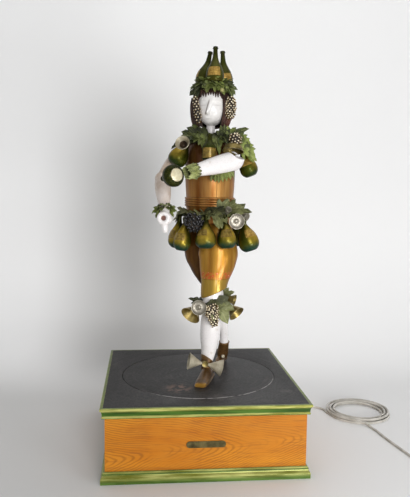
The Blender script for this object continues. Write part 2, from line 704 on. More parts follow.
def flex_finish():
    """Warm grey flex with the shallow line between its cores."""
    f = Finish("grey flex", Coat_Weight=0.3, Coat_Roughness=0.15)
    uv = f.axes(f.node("UVMap").outputs[0])
    line = f.span(f.sum("PINGPONG", f.times(uv["Y"], 4.0), 0.5), 0.12, 0.04)
    cloud = f.mottled(30.0, 300.0)
    colour = f.mix(cloud["Cloud"], "B4B0A6", "D4D0C8")
    colour = f.tint(colour, line, 0.55, "6F6A5E")
    return f.speckled(colour, cloud, (0.3, 0.45), 0.0001, 0.2)


def works_finish(name, dull, bright, metal, rough, grain=120.0):
    """Inner fittings: turned or moulded, slightly oily, worn at the edges."""
    f = Finish(name)
    cloud = f.mottled(30.0, grain)
    colour = f.mix(cloud["Cloud"], dull, bright)
    colour = f.rubbed(colour, 0.001, 90.0, 0.6, bright)
    colour = f.dusted(colour, 0.25, 70.0, "8E8878")
    return f.speckled(colour, cloud, (rough, rough + 0.15), 0.0002, 0.2, metal)


OAK = oak_finish()
CORNICE_GILT = gilt_finish("green and gilt cornice", 0.157, DECK_LEVEL, (
    (0.0, 0.05), (0.06, 0.08), (0.1, 0.85), (0.22, 0.75), (0.28, 0.02),
    (0.62, 0.05), (0.7, 0.95), (0.95, 0.7), (1.0, 0.25)))
PLINTH_GILT = gilt_finish("green and gilt plinth", 0.0, 0.0285, (
    (0.0, 0.05), (0.2, 0.1), (0.4, 0.45), (0.6, 0.85), (0.72, 0.55),
    (0.78, 0.05), (0.86, 0.1), (0.9, 0.75), (1.0, 0.3)))
SLATE_BOARD = slate_finish("slate board paint", 0.0)
SLATE_DISC = slate_finish("slate disc paint", 0.85)
BARREL = stave_gold_finish("barrel gold", (0.026, 0.004), 18.0, "744418", "A0682C", "DCB06A", "4A2208")
BREECHES = stave_gold_finish("breeches gold", (0.045, -0.03), 22.0, "84561A", "AC7A28", "DCAE50", "5A3A10", painted_hem)
REAR_BREECHES = stave_gold_finish("rear breeches gold", (0.026, 0.046), 22.0, "4A2C0C", "6A4414", "8E6428", "2A1806")
WHITE = composition_finish("white composition", 0.1)
ARM_TAN = composition_finish("yellowed composition", 0.85)
FACE = face_finish()
HIP_GREEN = bottle_finish("hip bottle green", "0A3A34", "464C12", "C4A440", "0E1A08")
SHOULDER_GREEN = bottle_finish("shoulder bottle green", "1E3414", "3E4610", "B89C40", "0C1606")
DARK_GREEN = bottle_finish("dark bottle green", "16200C", "1C260E", "263010", "080E04", 0.15)
CROWN_GREEN = bottle_finish("crown bottle green", "3A3A12", "3A3E18", "46481C", "141808", 0.35)
LABEL_GOLD = label_finish("gilt label", "C8A552", "94742E")
LABEL_OLD = label_finish("old gilt label", "A0883E", "6E5C24")
LABEL_CREAM = label_finish("cream label", "F4ECCC", "E4DAB4", False)
SILVER = sheet_metal_finish("silver cup", "8C867A", "B4AEA0", (0.34, 0.46), 0.55)
PEWTER = sheet_metal_finish("pewter funnel", "A89E86", "C9C1AB", (0.42, 0.55), 0.45)
BRASS = sheet_metal_finish("brass funnel", "7C6A38", "B09C62", (0.28, 0.42), 0.8)
OLD_BRASS = sheet_metal_finish("old brass dome", "5C5026", "94824A", (0.34, 0.5), 0.6)
GRIP = sheet_metal_finish("grip in the hand", "6E4A3E", "8E6A5A", (0.5, 0.7), 0.0)
DARK_LINING = sheet_metal_finish("dark funnel lining", "2A1C10", "4A3826", (0.5, 0.7), 0.2)
VINE = leaf_finish("vine leaf", "1A2008", "7C8C38", "B6BC78")
SAGE = leaf_finish("sage leaf", "22240A", "8A8E54", "B6B886")
FERN = leaf_finish("pale fern", "3A4416", "A6AE62", "D8DCA6")
BLACK_GRAPE = grape_finish("black grape", "050406", "0C0A0E", "C4C0C4", 0.0, 0.34, 0.4, (0.91, 0.99))
GOLD_GRAPE = grape_finish("gold grape", "5A4218", "8A6C34", "FFF2D2", 0.1, 0.24)
BUNCH_HEART = works_finish("dark of the bunch", "120C06", "2A1E10", 0.0, 0.6)
OLIVE = grape_finish("olive fruit", "6A6A38", "8A8450", "A8A468", 0.0, 0.35)
HAIR = hair_finish()
SHOE = shoe_finish()
FLEX = flex_finish()
BRONZE = works_finish("dark bronze", "2F2A18", "6E6440", 0.8, 0.35)
BRASS_WORKS = works_finish("clock brass", "9A7A34", "C9A95A", 1.0, 0.25)
STEEL = works_finish("bright steel", "8A8A8A", "B8B8B6", 1.0, 0.28)
BLACK = works_finish("black moulding", "141414", "2A2A2A", 0.0, 0.38)
PLY = works_finish("birch ply", "A98A5C", "C9AC7C", 0.0, 0.55, 40.0)
STEM = works_finish("green stem", "2E3A1E", "4A5A30", 0.0, 0.5)


# Camera, light and room

def set_camera():
    """The photograph's viewpoint."""
    focal_pixels, photo_height, sensor = 631.2, 497, 36.0
    seat = Matrix.Translation((-0.1505, -1.6815, 0.691))
    yaw, pitch, roll = radians(5.6), radians(5.55), radians(0.69)
    ahead = Vector((sin(yaw) * cos(pitch), cos(yaw) * cos(pitch), -sin(pitch)))
    right = Vector((cos(yaw), -sin(yaw), 0))
    up = right.cross(ahead)
    side = right * cos(roll) + up * sin(roll)
    top = up * cos(roll) - right * sin(roll)
    lens = bpy.data.cameras.new("photo camera")
    lens.sensor_fit = "VERTICAL"
    lens.sensor_height = sensor
    lens.lens = focal_pixels / photo_height * sensor
    camera = added("photo camera", lens)
    camera.matrix_world = seat @ Matrix((side, top, -ahead)).transposed().to_4x4()
    bpy.context.scene.camera = camera


def softbox(name, place, target, size, power):
    lamp = bpy.data.lights.new(name, "AREA")
    lamp.shape = "RECTANGLE"
    lamp.size, lamp.size_y = size
    lamp.energy = power
    added(name, lamp).matrix_world = aimed(place, Vector(place) - Vector(target))


def set_room():
    """Soft boxes, an even grey world and a pale sweep whose back lets other views through."""
    softbox("key box", (1.0, -5.85, 1.3), (0.0, 0, 0.6), (1.8, 2.2), 165)
    softbox("low box", (0.75, -1.35, 0.2), (0.05, -0.1, 0.15), (0.5, 0.3), 8)
    softbox("fill box", (-1.9, -1.6, 1.1), (0.0, 0, 0.5), (1.0, 1.6), 3)
    softbox("top box", (0.2, -0.2, 2.5), (0.0, 0, 0.4), (1.6, 1.6), 8)
    softbox("back box", (-1.2, 3.2, 1.9), (0.0, 0, 0.5), (1.4, 1.4), 11)
    world = bpy.data.worlds.new("studio")
    world.use_nodes = True
    sky = world.node_tree.nodes["Background"]
    sky.inputs["Color"].default_value = (0.97, 0.97, 0.97, 1)
    sky.inputs["Strength"].default_value = 0.28
    bpy.context.scene.world = world
    bpy.context.scene.view_settings.view_transform = "Standard"

    f = Finish("pale sweep", Roughness=0.9, Specular_IOR_Level=0.1)
    at = f.axes()
    left = f.span(at["X"], 0.7, -0.6)
    low = f.span(at["Y"], 0.75, 0.3)
    band = f.times(f.span(at["X"], 0.1, -0.22), f.span(at["X"], -0.62, -0.24))
    band = f.times(band, f.times(f.span(at["Z"], 1.4, 0.7), f.span(at["Y"], 0.45, 0.75)))
    colour = f.mix(f.times(low, f.span(left, 0, 1, 0.1, 0.5)), "FAFAFA", "B2B1AE")
    f.coat(f.tint(colour, band, 0.52, "8E8D89"))
    see_through = f.node("MixShader", {0: f.node("NewGeometry").outputs["Backfacing"], 1: f.shader.outputs[0],
                                       2: f.node("BsdfTransparent").outputs[0]})
    f.plug(f.tree.nodes["Material Output"].inputs["Surface"], see_through.outputs[0])
    reach, bend_start, bend = 9, 0.45, 0.5
    turns = [radians(10 * k) for k in range(1, 10)]
    rise = [(bend_start + bend * sin(a), bend - bend * cos(a)) for a in turns]
    bm = bmesh.new()
    ridge = [bm.verts.new((-reach, y, z)) for y, z in [(-3.4, 0), (bend_start, 0)] + rise + [(bend_start + bend, 4.5)]]
    edges = [bm.edges.new(pair) for pair in zip(ridge, ridge[1:])]
    pushed(bm, bmesh.ops.extrude_edge_only(bm, edges=edges), (2 * reach, 0, 0))
    if max(bm.faces, key=lambda face: face.calc_center_median().z).normal.y > 0:
        bmesh.ops.reverse_faces(bm, faces=bm.faces)
    beyond = ((-reach, 0.3), (reach, 0.3), (reach, reach), (-reach, reach))
    bm.faces.new([bm.verts.new((x, y, -0.002)) for x, y in beyond])
    mesh = mesh_from(bm, "sweep")
    mesh.shade_smooth()
    mesh.materials.append(f.material)
    sweep = added("sweep", mesh)


# Flex

def smooth_route(points, step):
    """Even points along a smooth curve through the route, whose first and last stretch stay straight."""
    padded = [Vector(p) for p in points]
    fine = []
    for a, b, c, d in zip(padded, padded[1:], padded[2:], padded[3:]):
        for k in range(24):
            t = k / 24
            fine.append(0.5 * (2 * b + (c - a) * t + (2 * a - 5 * b + 4 * c - d) * t ** 2
                               + (3 * b - a - 3 * c + d) * t ** 3))
    fine.append(padded[-2])
    total = sum((q - p).length for p, q in zip(fine, fine[1:]))
    count = max(2, round(total / step))
    spaced = [fine[0]]
    walked = 0.0
    for p, q in zip(fine, fine[1:]):
        length = (q - p).length
        while len(spaced) < count and walked + length >= total * len(spaced) / count:
            spaced.append(p.lerp(q, (total * len(spaced) / count - walked) / length))
        walked += length
    for point in spaced:
        point.z = max(point.z, CORD_FLOOR)
    return [padded[0]] + spaced + [fine[-1], padded[-1]]


def coil_points():
    """Loops that spiral in on the floor and out again in a second layer."""
    centre_x, centre_y, outer, closer, layer = 0.513, 0.163, 0.098, 0.0105, 0.0077
    total = radians(360 * 5 + 65)
    steps = round(total / (2 * pi) * 24)
    points = []
    for i in range(steps + 1):
        angle = total * i / steps
        radius = outer - closer * min(angle, total - angle) / (2 * pi)
        climb = limited((angle - total / 2) / pi + 0.5)
        height = CORD_FLOOR + layer * (3 * climb ** 2 - 2 * climb ** 3)
        points.append(Vector((centre_x + radius * cos(pi + angle), centre_y + radius * sin(pi + angle), height)))
    return points


def make_flex():
    """The whole flex on one curve: run behind the base, coil, and tail to the plug."""
    coil = coil_points()
    start = (coil[1] - coil[0]).normalized()
    coil[1] = coil[0] + start * CORD_DIAMETER
    end = (coil[-1] - coil[-2]).normalized()
    coil[-2] = coil[-1] - end * CORD_DIAMETER
    low = CORD_FLOOR
    into = coil[0] - start * TOUCH
    run = [EXIT, (0.185, 0.2728, 0.05), (0.189, 0.292, 0.043), (0.205, 0.312, 0.017), (0.238, 0.322, low),
           (0.285, 0.312, low), (0.325, 0.278, low), (0.36, 0.237, low), (0.394, 0.211, low), (0.411, 0.19, low),
           into - start * CORD_DIAMETER, into]
    leave = coil[-1] + end * TOUCH
    rear = Vector((0.56, -0.3, 0.0085))
    way = Vector((0.17, -0.985, 0)).normalized()
    tail = [leave, leave + end * CORD_DIAMETER, (0.497, 0.056, low + 0.004), (0.512, 0.02, low), (0.52, -0.045, low),
            (0.531, -0.11, low), (0.543, -0.18, low), (0.553, -0.245, low), rear - way * (CORD_DIAMETER + TOUCH),
            rear - way * TOUCH]
    run = smooth_route(run, CORD_DIAMETER * 1.4)
    route = run + coil[1:-1] + smooth_route(tail, CORD_DIAMETER * 2.0)
    curve = bpy.data.curves.new("flex", "CURVE")
    curve.dimensions = "3D"
    curve.bevel_depth = CORD_DIAMETER / 2
    curve.bevel_resolution = 4
    curve.use_fill_caps = True
    spline = curve.splines.new("POLY")
    spline.points.add(len(route) - 1)
    for knot, point in zip(spline.points, route):
        knot.co = (*point, 1)
    curve.materials.append(FLEX)
    flex = added("flex", curve)
    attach(flex, "base")
    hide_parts("cord_run", "cord_coil", "cord_tail")

    sections = []
    wanted = [(0.0, 0.0064), (0.004, 0.0062), (0.01, 0.0056), (0.02, 0.0049), (0.028, 0.0044), (0.032, 0.0041)]
    reach = 0.0
    for p, q in zip(run, run[1:]):
        while wanted and reach + (q - p).length >= wanted[0][0]:
            along, thick = wanted.pop(0)
            share = (along - reach) / max((q - p).length, 1e-9)
            sections.append((p.lerp(q, share), thick, thick, q - p))
        reach += (q - p).length
    relief = piece("strain_relief", lofted(sections, 20), BLACK, "base")
    plug = make_plug(rear, way)


def make_plug(rear, way):
    """Flat two-pin plug with ribbed sides and split pins."""
    place = aimed(rear, way, way.cross(Vector((0, 0, 1))))
    body = lofted([(Vector((0, 0, 0.036 * s)), x, y, (0, 0, 1)) for s, x, y in eased((
        (0.0, 0.0046, 0.0046), (0.1, 0.005, 0.005), (0.22, 0.0052, 0.0052), (0.34, 0.0085, 0.0064),
        (0.47, 0.0125, 0.0072), (0.7, 0.015, 0.0072), (0.92, 0.0162, 0.007), (0.99, 0.0156, 0.0062)), 3)], 32)
    parts = [body]
    for side in (-1, 1):
        pin = turned([(0, 0.033), (0.0022, 0.033), (0.0022, 0.0525), (0.0016, 0.0545), (0, 0.055)], 20)
        parts.append(moved(pin, Matrix.Translation((side * 0.0093, 0, 0))))
    plug = piece("mains_plug", moved(joined(parts), place), BLACK, "base", ["plug"])
    return plug


# Cabinet

def moulding(name, profile, finish, stands_for):
    """Profile of (reach from the panel, height) run round the cabinet with mitred corners."""
    bm = bmesh.new()
    loops = []
    for reach, height in profile:
        loops.append(rectangle(bm, PANEL_X + reach, PANEL_Y + reach, height))
    for low, high in zip(loops, loops[1:] + loops[:1]):
        bmesh.ops.bridge_loops(bm, edges=low + high)
    faced(bm)
    corners = [e for e in bm.edges if abs(e.verts[0].co.x) != abs(e.verts[1].co.x) and e.calc_length() < 0.02
               and min(abs(v.co.x) for v in e.verts) > 0.2393]
    softened(bm, [e for e in corners if e.calc_face_angle(0) > 1.2], 0.0005)
    return piece(name, bm, finish, "base", stands_for, smooth=30)


def make_mouldings():
    """Cornice and plinth with finer members than the plain rings."""
    cove = [(0.006 + 0.005 * (1 - cos(radians(a))), 0.1615 + 0.015 * sin(radians(a))) for a in range(0, 100, 10)]
    cornice = [(TOUCH, 0.157), (0.0062, 0.157), (0.0068, 0.1577), (0.0068, 0.1606), (0.0062, 0.1613)] + cove + [
        (0.011, 0.1768), (0.011, 0.1815), (0.0105, 0.1823), (0.0098, DECK_LEVEL), (0.0043, DECK_LEVEL),
        (0.0043, 0.17), (TOUCH, 0.17)]
    moulding("cornice", cornice, CORNICE_GILT, ["top_moulding"])
    ogee = [(0.0097, 0.0135), (0.009, 0.015), (0.0075, 0.0166), (0.006, 0.018), (0.0051, 0.0196), (0.0048, 0.021)]
    bead = [(0.0054 + 0.0008 * sin(radians(a)), 0.0232 - 0.0013 * cos(radians(a))) for a in range(0, 210, 30)]
    plinth = [(TOUCH, 0.0), (0.0096, 0.0), (0.01, 0.0006), (0.01, 0.0118)] + ogee + [(0.0048, 0.0217)] + bead + [
        (0.005, 0.025), (0.0036, 0.0283), (0.003, 0.0285), (TOUCH, 0.0285)]
    moulding("plinth", plinth, PLINTH_GILT, ["plinth_moulding"])


def make_deck():
    """Board with its round opening, and the turntable disc with a chamfered rim."""
    sides, thick, lip = 160, 0.012, 0.004
    bm = bmesh.new()
    edges = rectangle(bm, PANEL_X + lip, PANEL_Y + lip, 0)
    hole = bmesh.ops.create_circle(bm, segments=sides, radius=OPENING)["verts"]
    edges += once(e for v in hole for e in v.link_edges)
    bmesh.ops.triangle_fill(bm, use_beauty=True, use_dissolve=False, edges=edges)
    pushed(bm, bmesh.ops.extrude_face_region(bm, geom=bm.faces[:]), (0, 0, thick))
    faced(bm)
    softened(bm, [e for e in bm.edges if all(v.co.z > thick / 2 and abs(hypot(*v.co.xy) - OPENING) < 1e-4
                                             for v in e.verts)], 0.0007)
    board = moved(bm, Matrix.Translation((0, 0, DECK_LEVEL - thick)))
    piece("deck_board", board, SLATE_BOARD, "base", ["top_board"], smooth=30)
    low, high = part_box("turntable_disc")
    reach = high.x
    profile = [(0.0095, low.z), (reach, low.z), (reach, high.z - 0.0009), (reach - 0.0003, high.z - 0.0003),
               (reach - 0.0009, high.z), (0.0, high.z), (0.0, high.z - 0.003), (0.0095, high.z - 0.003)]
    piece("turntable_top", turned(profile, sides), SLATE_DISC, "turntable", ["turntable_disc"], smooth=25)


def make_name_plate():
    """Bare bronze plate with a raised border and two pin heads."""
    half_x, half_z, r = 0.047, 0.008, 0.008
    outline = []
    for side in (1, -1):
        for k in range(13):
            a = radians(-90 + 15 * k)
            outline.append((side * (half_x - r + r * cos(a)), side * half_z * sin(a)))
    bm = bmesh.new()
    face = bm.faces.new([bm.verts.new((px, pz, 0)) for px, pz in outline])
    pushed(bm, bmesh.ops.extrude_face_region(bm, geom=[face]), (0, 0, 0.0015))
    faced(bm)
    top = [f for f in bm.faces if f.normal.z > 0.9]
    bmesh.ops.inset_region(bm, faces=top, thickness=0.0012, depth=0.0)
    top = [f for f in bm.faces if f.normal.z > 0.9 and all(abs(v.co.y) < 0.007 for v in f.verts)]
    bmesh.ops.inset_region(bm, faces=top, thickness=0.0003, depth=-0.0005)
    parts = [bm]
    for side in (-1, 1):
        pin = turned(mm((0, 1.4), (1, 1.3), (1.3, 0.8)), 12)
        parts.append(moved(pin, Matrix.Translation((side * 0.0425, 0, 0))))
    turn = Matrix(((1, 0, 0, -0.002), (0, 0, -1, -0.2543), (0, 1, 0, 0.0885), (0, 0, 0, 1)))
    piece("bare_plate", moved(joined(parts), turn), BRONZE, "base", ["name_plate"], smooth=30)


def paint_works():
    """Better finishes on the solids that stay as they are."""
    finishes = {"oak": OAK, "plywood": PLY, "brass": BRASS_WORKS, "steel": STEEL, "black_plastic": BLACK,
                "slate_paint": SLATE_BOARD, "green_gilt": CORNICE_GILT, "white_composition": WHITE, "pewter": PEWTER,
                "vine_green": VINE, "grey_flex": BLACK, "barrel_gold": BARREL, "breeches_gold": BREECHES,
                "bottle_green": HIP_GREEN, "silver": SILVER, "brown_hair": HAIR, "shoe_brown": SHOE}
    for slot in (slot for node in nodes.values() for slot in node.material_slots):
        name = slot.material.name.split(".")[0] if slot.material else ""
        if name in finishes:
            slot.material = finishes[name]


# Figure: barrel, breeches, legs and shoes

def make_barrel():
    """Waisted barrel: four copper hoops on the waist and staves above and below them."""
    foot, waist, hoop_step, hoops = BARREL_FOOT, BARREL_FOOT + 0.045, 0.0062, 4
    rows = [(0.0, foot), (0.0596, foot), (0.0606, foot + 0.001), (0.062, foot + 0.004), (0.0625, foot + 0.041)]
    for i in range(hoops):
        low = waist + i * hoop_step
        rows.append((0.064, low))
        for a in (-60, -30, 0, 30, 60):
            rows.append((0.0645 + 0.0027 * cos(radians(a)), low + 0.0031 + 0.0026 * sin(radians(a))))
    above = waist + hoops * hoop_step
    rest = BARREL_TOP - above
    shape = eased([(0.0662 * s, above + rest * h) for h, s in (
        (0.0, 0.955), (0.22, 0.985), (0.45, 1.0), (0.78, 0.985), (0.91, 0.92), (0.98, 0.82), (1.0, 0.75))], 4)
    rows += shape + [(0.0, BARREL_TOP)]
    piece("barrel", moved(turned(rows, 72), UPRIGHT), BARREL, "turntable", ["torso_barrel"], smooth=50)


# Which way the ends of the breeches and of the shoes' shafts face
BREECHES_CUT = (-0.4, 0.0, 0.92)
REAR_CUT = (-0.35, -0.03, 0.94)
SHOE_CUT = (0.54, 0.315, 0.775)
REAR_SHOE_CUT = (-0.06, -0.28, 0.96)


def make_breeches():
    """Two amphora-shaped legs with a small rolled hem."""
    front = mm((18, -30, 412.2, 36, 27), (19, -31, 392.2, 40, 29), (20.5, -32, 362.2, 47, 33),
            (20.9, -33, 336.2, 52.6, 36), (19.5, -34, 315.2, 49.5, 36.5), (15.9, -36, 293.2, 44.9, 36),
            (12.5, -39, 271.2, 38.5, 33.5), (10.3, -43, 252, 35, 31), (9.5, -44, 232, 37.5, 30))
    rear = mm((-20, 40, 412.2, 36, 27), (-19.5, 41, 392.2, 40, 29), (-17, 43, 362.2, 47, 33),
            (-13, 44, 330.2, 50, 34.5), (-6, 45, 308.2, 47.5, 34.5), (0.1, 46, 287.2, 43, 33),
            (8, 47.5, 266, 37, 30.5), (14.5, 49, 251, 32.5, 28), (19.5, 50, 236, 29, 26))
    for name, rows, tilt in (("breeches_front_leg", front, BREECHES_CUT), ("breeches_rear_leg", rear, REAR_CUT)):
        bm = limb(rows, 48, ends=((0, 0, -1), Vector(tilt) * -1))
        softened(bm, [e for e in bm.edges if e.calc_face_angle(0) > 0.9], 0.0012)
        finish = BREECHES if name == "breeches_front_leg" else REAR_BREECHES
        piece(name, bm, finish, "turntable", [name.replace("_leg", "")], smooth=50)


def make_legs():
    """White legs between the breeches and the shoes."""
    seat = Vector(BREECHES_CUT).normalized() * SEAM
    front = mm((-6, -38, 53.5, 18, 16.2), (-1, -37, 82.5, 21.4), (0.5, -38, 105.5, 25), (1.7, -39, 128.5, 26.8),
            (3, -41, 155.5, 26.6), (5.1, -44, 180, 25.8), (5.1, -44, 208, 25.5)) + [
            (0.0051 - seat.x, -0.044, 0.2301 - seat.z, 0.0277, 0.0255)]
    piece("leg_front", limb(front, 40, ends=(SHOE_CUT, BREECHES_CUT)), WHITE, "turntable", ["front_leg"])
    hem = Vector((0.0195, 0.05, 0.236)) - Vector(REAR_CUT).normalized() * SEAM
    rear = mm((57.3, 96, 64.5, 12.4), (56, 90, 85, 12.6), (52.5, 83, 105, 13.7), (47, 74, 130, 16.5),
            (40, 64, 160, 19), (32, 55, 190, 20.5), (27, 51.5, 212, 20.8)) + [(*hem, 0.021)]
    piece("leg_rear", limb(rear, 36, ends=(REAR_SHOE_CUT, REAR_CUT)), WHITE, "turntable", ["rear_leg"])


def flat_sole(bm, low):
    """Presses the lowest points onto the sole's level."""
    for vert in bm.verts:
        vert.co.z = max(vert.co.z, low)
    return bm


def make_shoes():
    """Front shoe flat on the disc with a welt and a rolled cuff; rear shoe on its toe."""
    sole = DECK_LEVEL + TOUCH
    toe = Vector((-0.327, -0.945, 0)).normalized()
    rows = eased(mm((0, 14, 9, 13.5), (12, 17, 12.8, 17.5), (36, 16, 14.5, 19), (56, 13, 15.8, 16),
            (80, 9, 16.2, 11.5), (105, 7, 16, 8.5), (120, 6, 14.6, 6.8), (126, 5.5, 11.8, 4.8)), 4)
    foot = []
    welt = []
    for along, height, wide, high in rows:
        at = Vector((0.008, -0.006, 0)) + toe * along
        foot.append((spot(at.x, at.y, height), wide, high, toe))
        welt.append((spot(at.x, at.y, 0.0018), wide + 0.0008, 0.0016, toe))
    seat = Vector(SHOE_CUT).normalized() * SEAM
    shaft = limb([(-0.0066, -0.04, 0.01, 0.014), (-0.007, -0.04, 0.03, 0.015),
                  (-0.006 - seat.x, -0.038 - seat.y, 0.0535 - seat.z, 0.019, 0.0172)], 32, ends=(None, SHOE_CUT), per=8)
    top = spot(-0.006 - seat.x, -0.038 - seat.y, 0.0535 - seat.z)
    cuff = moved(hoop(0.0174, 0.0014, -0.0018, 36), aimed(top, SHOE_CUT))
    parts = [flat_sole(lofted(foot, 28), sole), flat_sole(lofted(welt, 24), sole), flat_sole(shaft, sole), cuff]
    piece("shoe_front", joined(parts), SHOE, "turntable", ["front_shoe"], smooth=50)
    lean = Vector(REAR_SHOE_CUT).normalized()
    collar = spot(0.0573, 0.096, 0.0645) - lean * SEAM
    shaft = []
    for a, b, c, wide, high in eased(mm((54.5, 119, 6, 12.5, 12), (55.5, 114, 26, 16.5, 15.5),
            (56.6, 106, 45, 15.2, 14.8)), 5):
        shaft.append((spot(a, b, c), wide, high, (0, -0.22, 1)))
    shaft.append((collar, 0.0142, 0.0142, lean))
    tip = [(spot(a, b, c), wide, high, (-0.45, -0.89, 0)) for a, b, c, wide, high in eased(mm((56, 122, 10, 15, 11),
            (48, 106, 8, 14, 8.5), (40, 90, 5, 9.5, 5.2)), 5)]
    cuff = moved(hoop(0.014, 0.0014, -0.0016, 32), aimed(collar, lean))
    parts = [flat_sole(lofted(shaft, 28), sole), flat_sole(lofted(tip, 24), sole), cuff]
    piece("shoe_rear", joined(parts), SHOE, "turntable", ["rear_shoe"], smooth=50)
    knot = turned(mm((0, -4), (4.2, -4), (5, -2), (5, 4.5), (4, 6), (0, 6.4)), 24)
    piece("rear_rosette", moved(knot, aimed(spot(0.0545, 0.0985, 0.02), (0, -1, 0))), PEWTER, "turntable")


def funnel_shell(mouth, length, spout=0.0035, steps=40, flare=1.15):
    """Spun funnel: straight spout, flared cone, rolled rim, open inside."""
    wall = 0.0009
    neck = length * 0.28
    throat = spout + 0.0012
    shares = [k / 8 for k in range(1, 9)]
    rows = [(spout * 0.55, 0), (spout, 0), (spout, neck * 0.6), (throat, neck)]
    rows += [(throat + (mouth - 0.0006 - throat) * t ** flare, neck + (length - 0.0014 - neck) * t) for t in shares]
    rows += [(mouth, length - 0.0012), (mouth, length - 0.0004), (mouth - 0.0005, length),
             (mouth - wall, length - 0.0006)]
    rows += [(throat - wall + (mouth - throat) * t ** flare, neck + (length - neck) * t) for t in shares[-2::-1]]
    return turned(rows + [(spout * 0.55, neck)], steps, closed=True)


def make_shoe_bow():
    """Two small funnels, fluted like pleats, on a gold tie ring."""
    knot = spot(-0.0135, -0.06, 0.043)
    parts = []
    for mouth, radius in ((spot(-0.057, -0.061, 0.0513), 0.0222), (spot(0.031, -0.061, 0.0316), 0.0226)):
        way = mouth - knot
        shell = funnel_shell(radius, way.length, 0.0036, 56, flare=1.0)
        for v in shell.verts:
            turn = atan2(v.co.y, v.co.x)
            grow = 1 + 0.006 * sin(18 * turn) * min(1.0, hypot(v.co.x, v.co.y) / radius)
            v.co.x *= grow
            v.co.y *= grow
        parts.append(moved(shell, aimed(knot, way)))
    piece("bow_funnels", joined(parts), PEWTER, "turntable", ["shoe_bow"], smooth=60)
    ring = turned(mm((6, -4.2), (8, -5), (9.2, -2.5), (8.6, 0), (9.2, 2.5), (8, 5), (6, 4.2), (0, 4.2), (0, -4.2)),
                  32, closed=True)
    piece("bow_ring", moved(ring, aimed(knot, (0, 1, 0))), OLD_BRASS, "turntable")


# Figure: bottles, cups and funnels

def bottle_rows(radius, length, shape):
    """Profile of a bottle: its outline, its neck and the ring at its mouth."""
    neck = 0.0056
    rows = eased([(radius * r, length * z) for r, z in shape], 3)
    rows += [(neck + 0.0004, length * 0.84), (neck, length * 0.9)]
    rows += [(neck + out, length - down) for out, down in (
        (0.0, 0.0062), (0.0014, 0.0056), (0.0016, 0.004), (0.0006, 0.003), (0.0007, 0.0006), (0.0, 0.0))]
    return rows + [(0.0, length)]


def bottle(name, base, top, radius, length, body, stands_for=(), shape=PEAR, finish=None, label=None, steps=40):
    """Bottle from its foot towards a figure point; a label is (low, high, half turn, facing, paper)."""
    start = spot(*base)
    place = aimed(start, spot(*top) - start)
    rows = bottle_rows(radius, length, shape)
    bm = turned(rows, steps)
    rise = bm.verts.layers.float.new("rise")
    belly = bm.verts.layers.float.new("belly")
    outward = place.to_3x3().inverted() @ (Vector((base[0], base[1], 0)).normalized() + Vector((0.25, -0.35, 0.15)))
    outward.normalize()
    for v in bm.verts:
        v[rise] = v.co.z / length
        v[belly] = max(0.0, Vector((v.co.x, v.co.y, 0)).normalized().dot(outward))
    piece(name, moved(bm, place), finish or HIP_GREEN, body, stands_for)
    if label:
        low, high, half, facing, paper = label
        local = place.to_3x3().inverted() @ Vector(facing)
        middle = atan2(local.y, local.x)
        strip = []
        for k in range(9):
            z = length * (low + (high - low) * k / 8)
            for (r0, z0), (r1, z1) in zip(rows, rows[1:]):
                if z0 <= z <= z1 and z1 > z0:
                    strip.append((r0 + (r1 - r0) * (z - z0) / (z1 - z0) + 0.0003, z))
                    break
        turns = radians(half) * 2
        patch = turned(strip, 20, turns)
        uv = patch.loops.layers.uv.new("label")
        for face in patch.faces:
            for loop in face.loops:
                co = loop.vert.co
                loop[uv].uv = (atan2(co.y, co.x) / turns, (co.z / length - low) / (high - low))
        bmesh.ops.solidify(patch, geom=patch.faces[:], thickness=-0.0003)
        moved(patch, place @ Matrix.Rotation(middle - turns / 2, 4, "Z"))
        piece(name + "_label", patch, paper, body)


# Azimuth, outward tilt, width and length as shares of the usual ones, label without its paper
HIP_BOTTLES = {
    "hip_bottle_1": (-140.0, 13.0, 0.84, 1.04, (0.26, 0.46, 42, (-0.65, -1, 0))),
    "hip_bottle_2": (-101.5, 10.0, 1.0, 0.935, (0.36, 0.55, 34, (-0.62, -1, 0))),
    "hip_bottle_3": (-68.5, 11.5, 0.925, 0.94, (0.32, 0.56, 40, (-0.1, -1, 0))),
    "hip_bottle_4": (-24.0, 19.0, 1.03, 1.1, (0.36, 0.56, 38, (0.45, -1, 0))),
    "hip_bottle_5": (-171.0, 5.0, 0.96, 1.0, (0.28, 0.52, 42, (-1, -0.4, 0))),
    "hip_bottle_6": (30.0, 12.0, 1.0, 1.0, (0.28, 0.52, 42, (1, 0.5, 0))),
    "hip_bottle_7": (80.0, 12.0, 1.0, 1.0, (0.28, 0.52, 42, (0.2, 1, 0))),
    "hip_bottle_8": (130.0, 12.0, 1.0, 1.0, (0.28, 0.52, 42, (-0.7, 1, 0))),
}


def make_hip_bottles():
    """Bottles hung by their necks from the belt ring."""
    radius, length, hang, inwards = 0.0265, 0.092, 0.08425, 0.0035
    for name, (azimuth, tilt, wide, long, label) in HIP_BOTTLES.items():
        a, t = radians(azimuth), radians(tilt)
        out = Vector((cos(a), sin(a), 0))
        neck = out * hang + Vector((0, 0, BELT_LEVEL + 0.003))
        foot = neck + (out * sin(t) - Vector((0, 0, 1)) * cos(t)) * length * long
        if name > "hip_bottle_4":
            foot -= out * inwards
            neck -= out * inwards
        bottle(name + "_fine", foot, neck, radius * wide, length * long, "turntable", [name] if name in nodes else (),
               label=(*label, LABEL_GOLD if name == "hip_bottle_4" else LABEL_OLD))


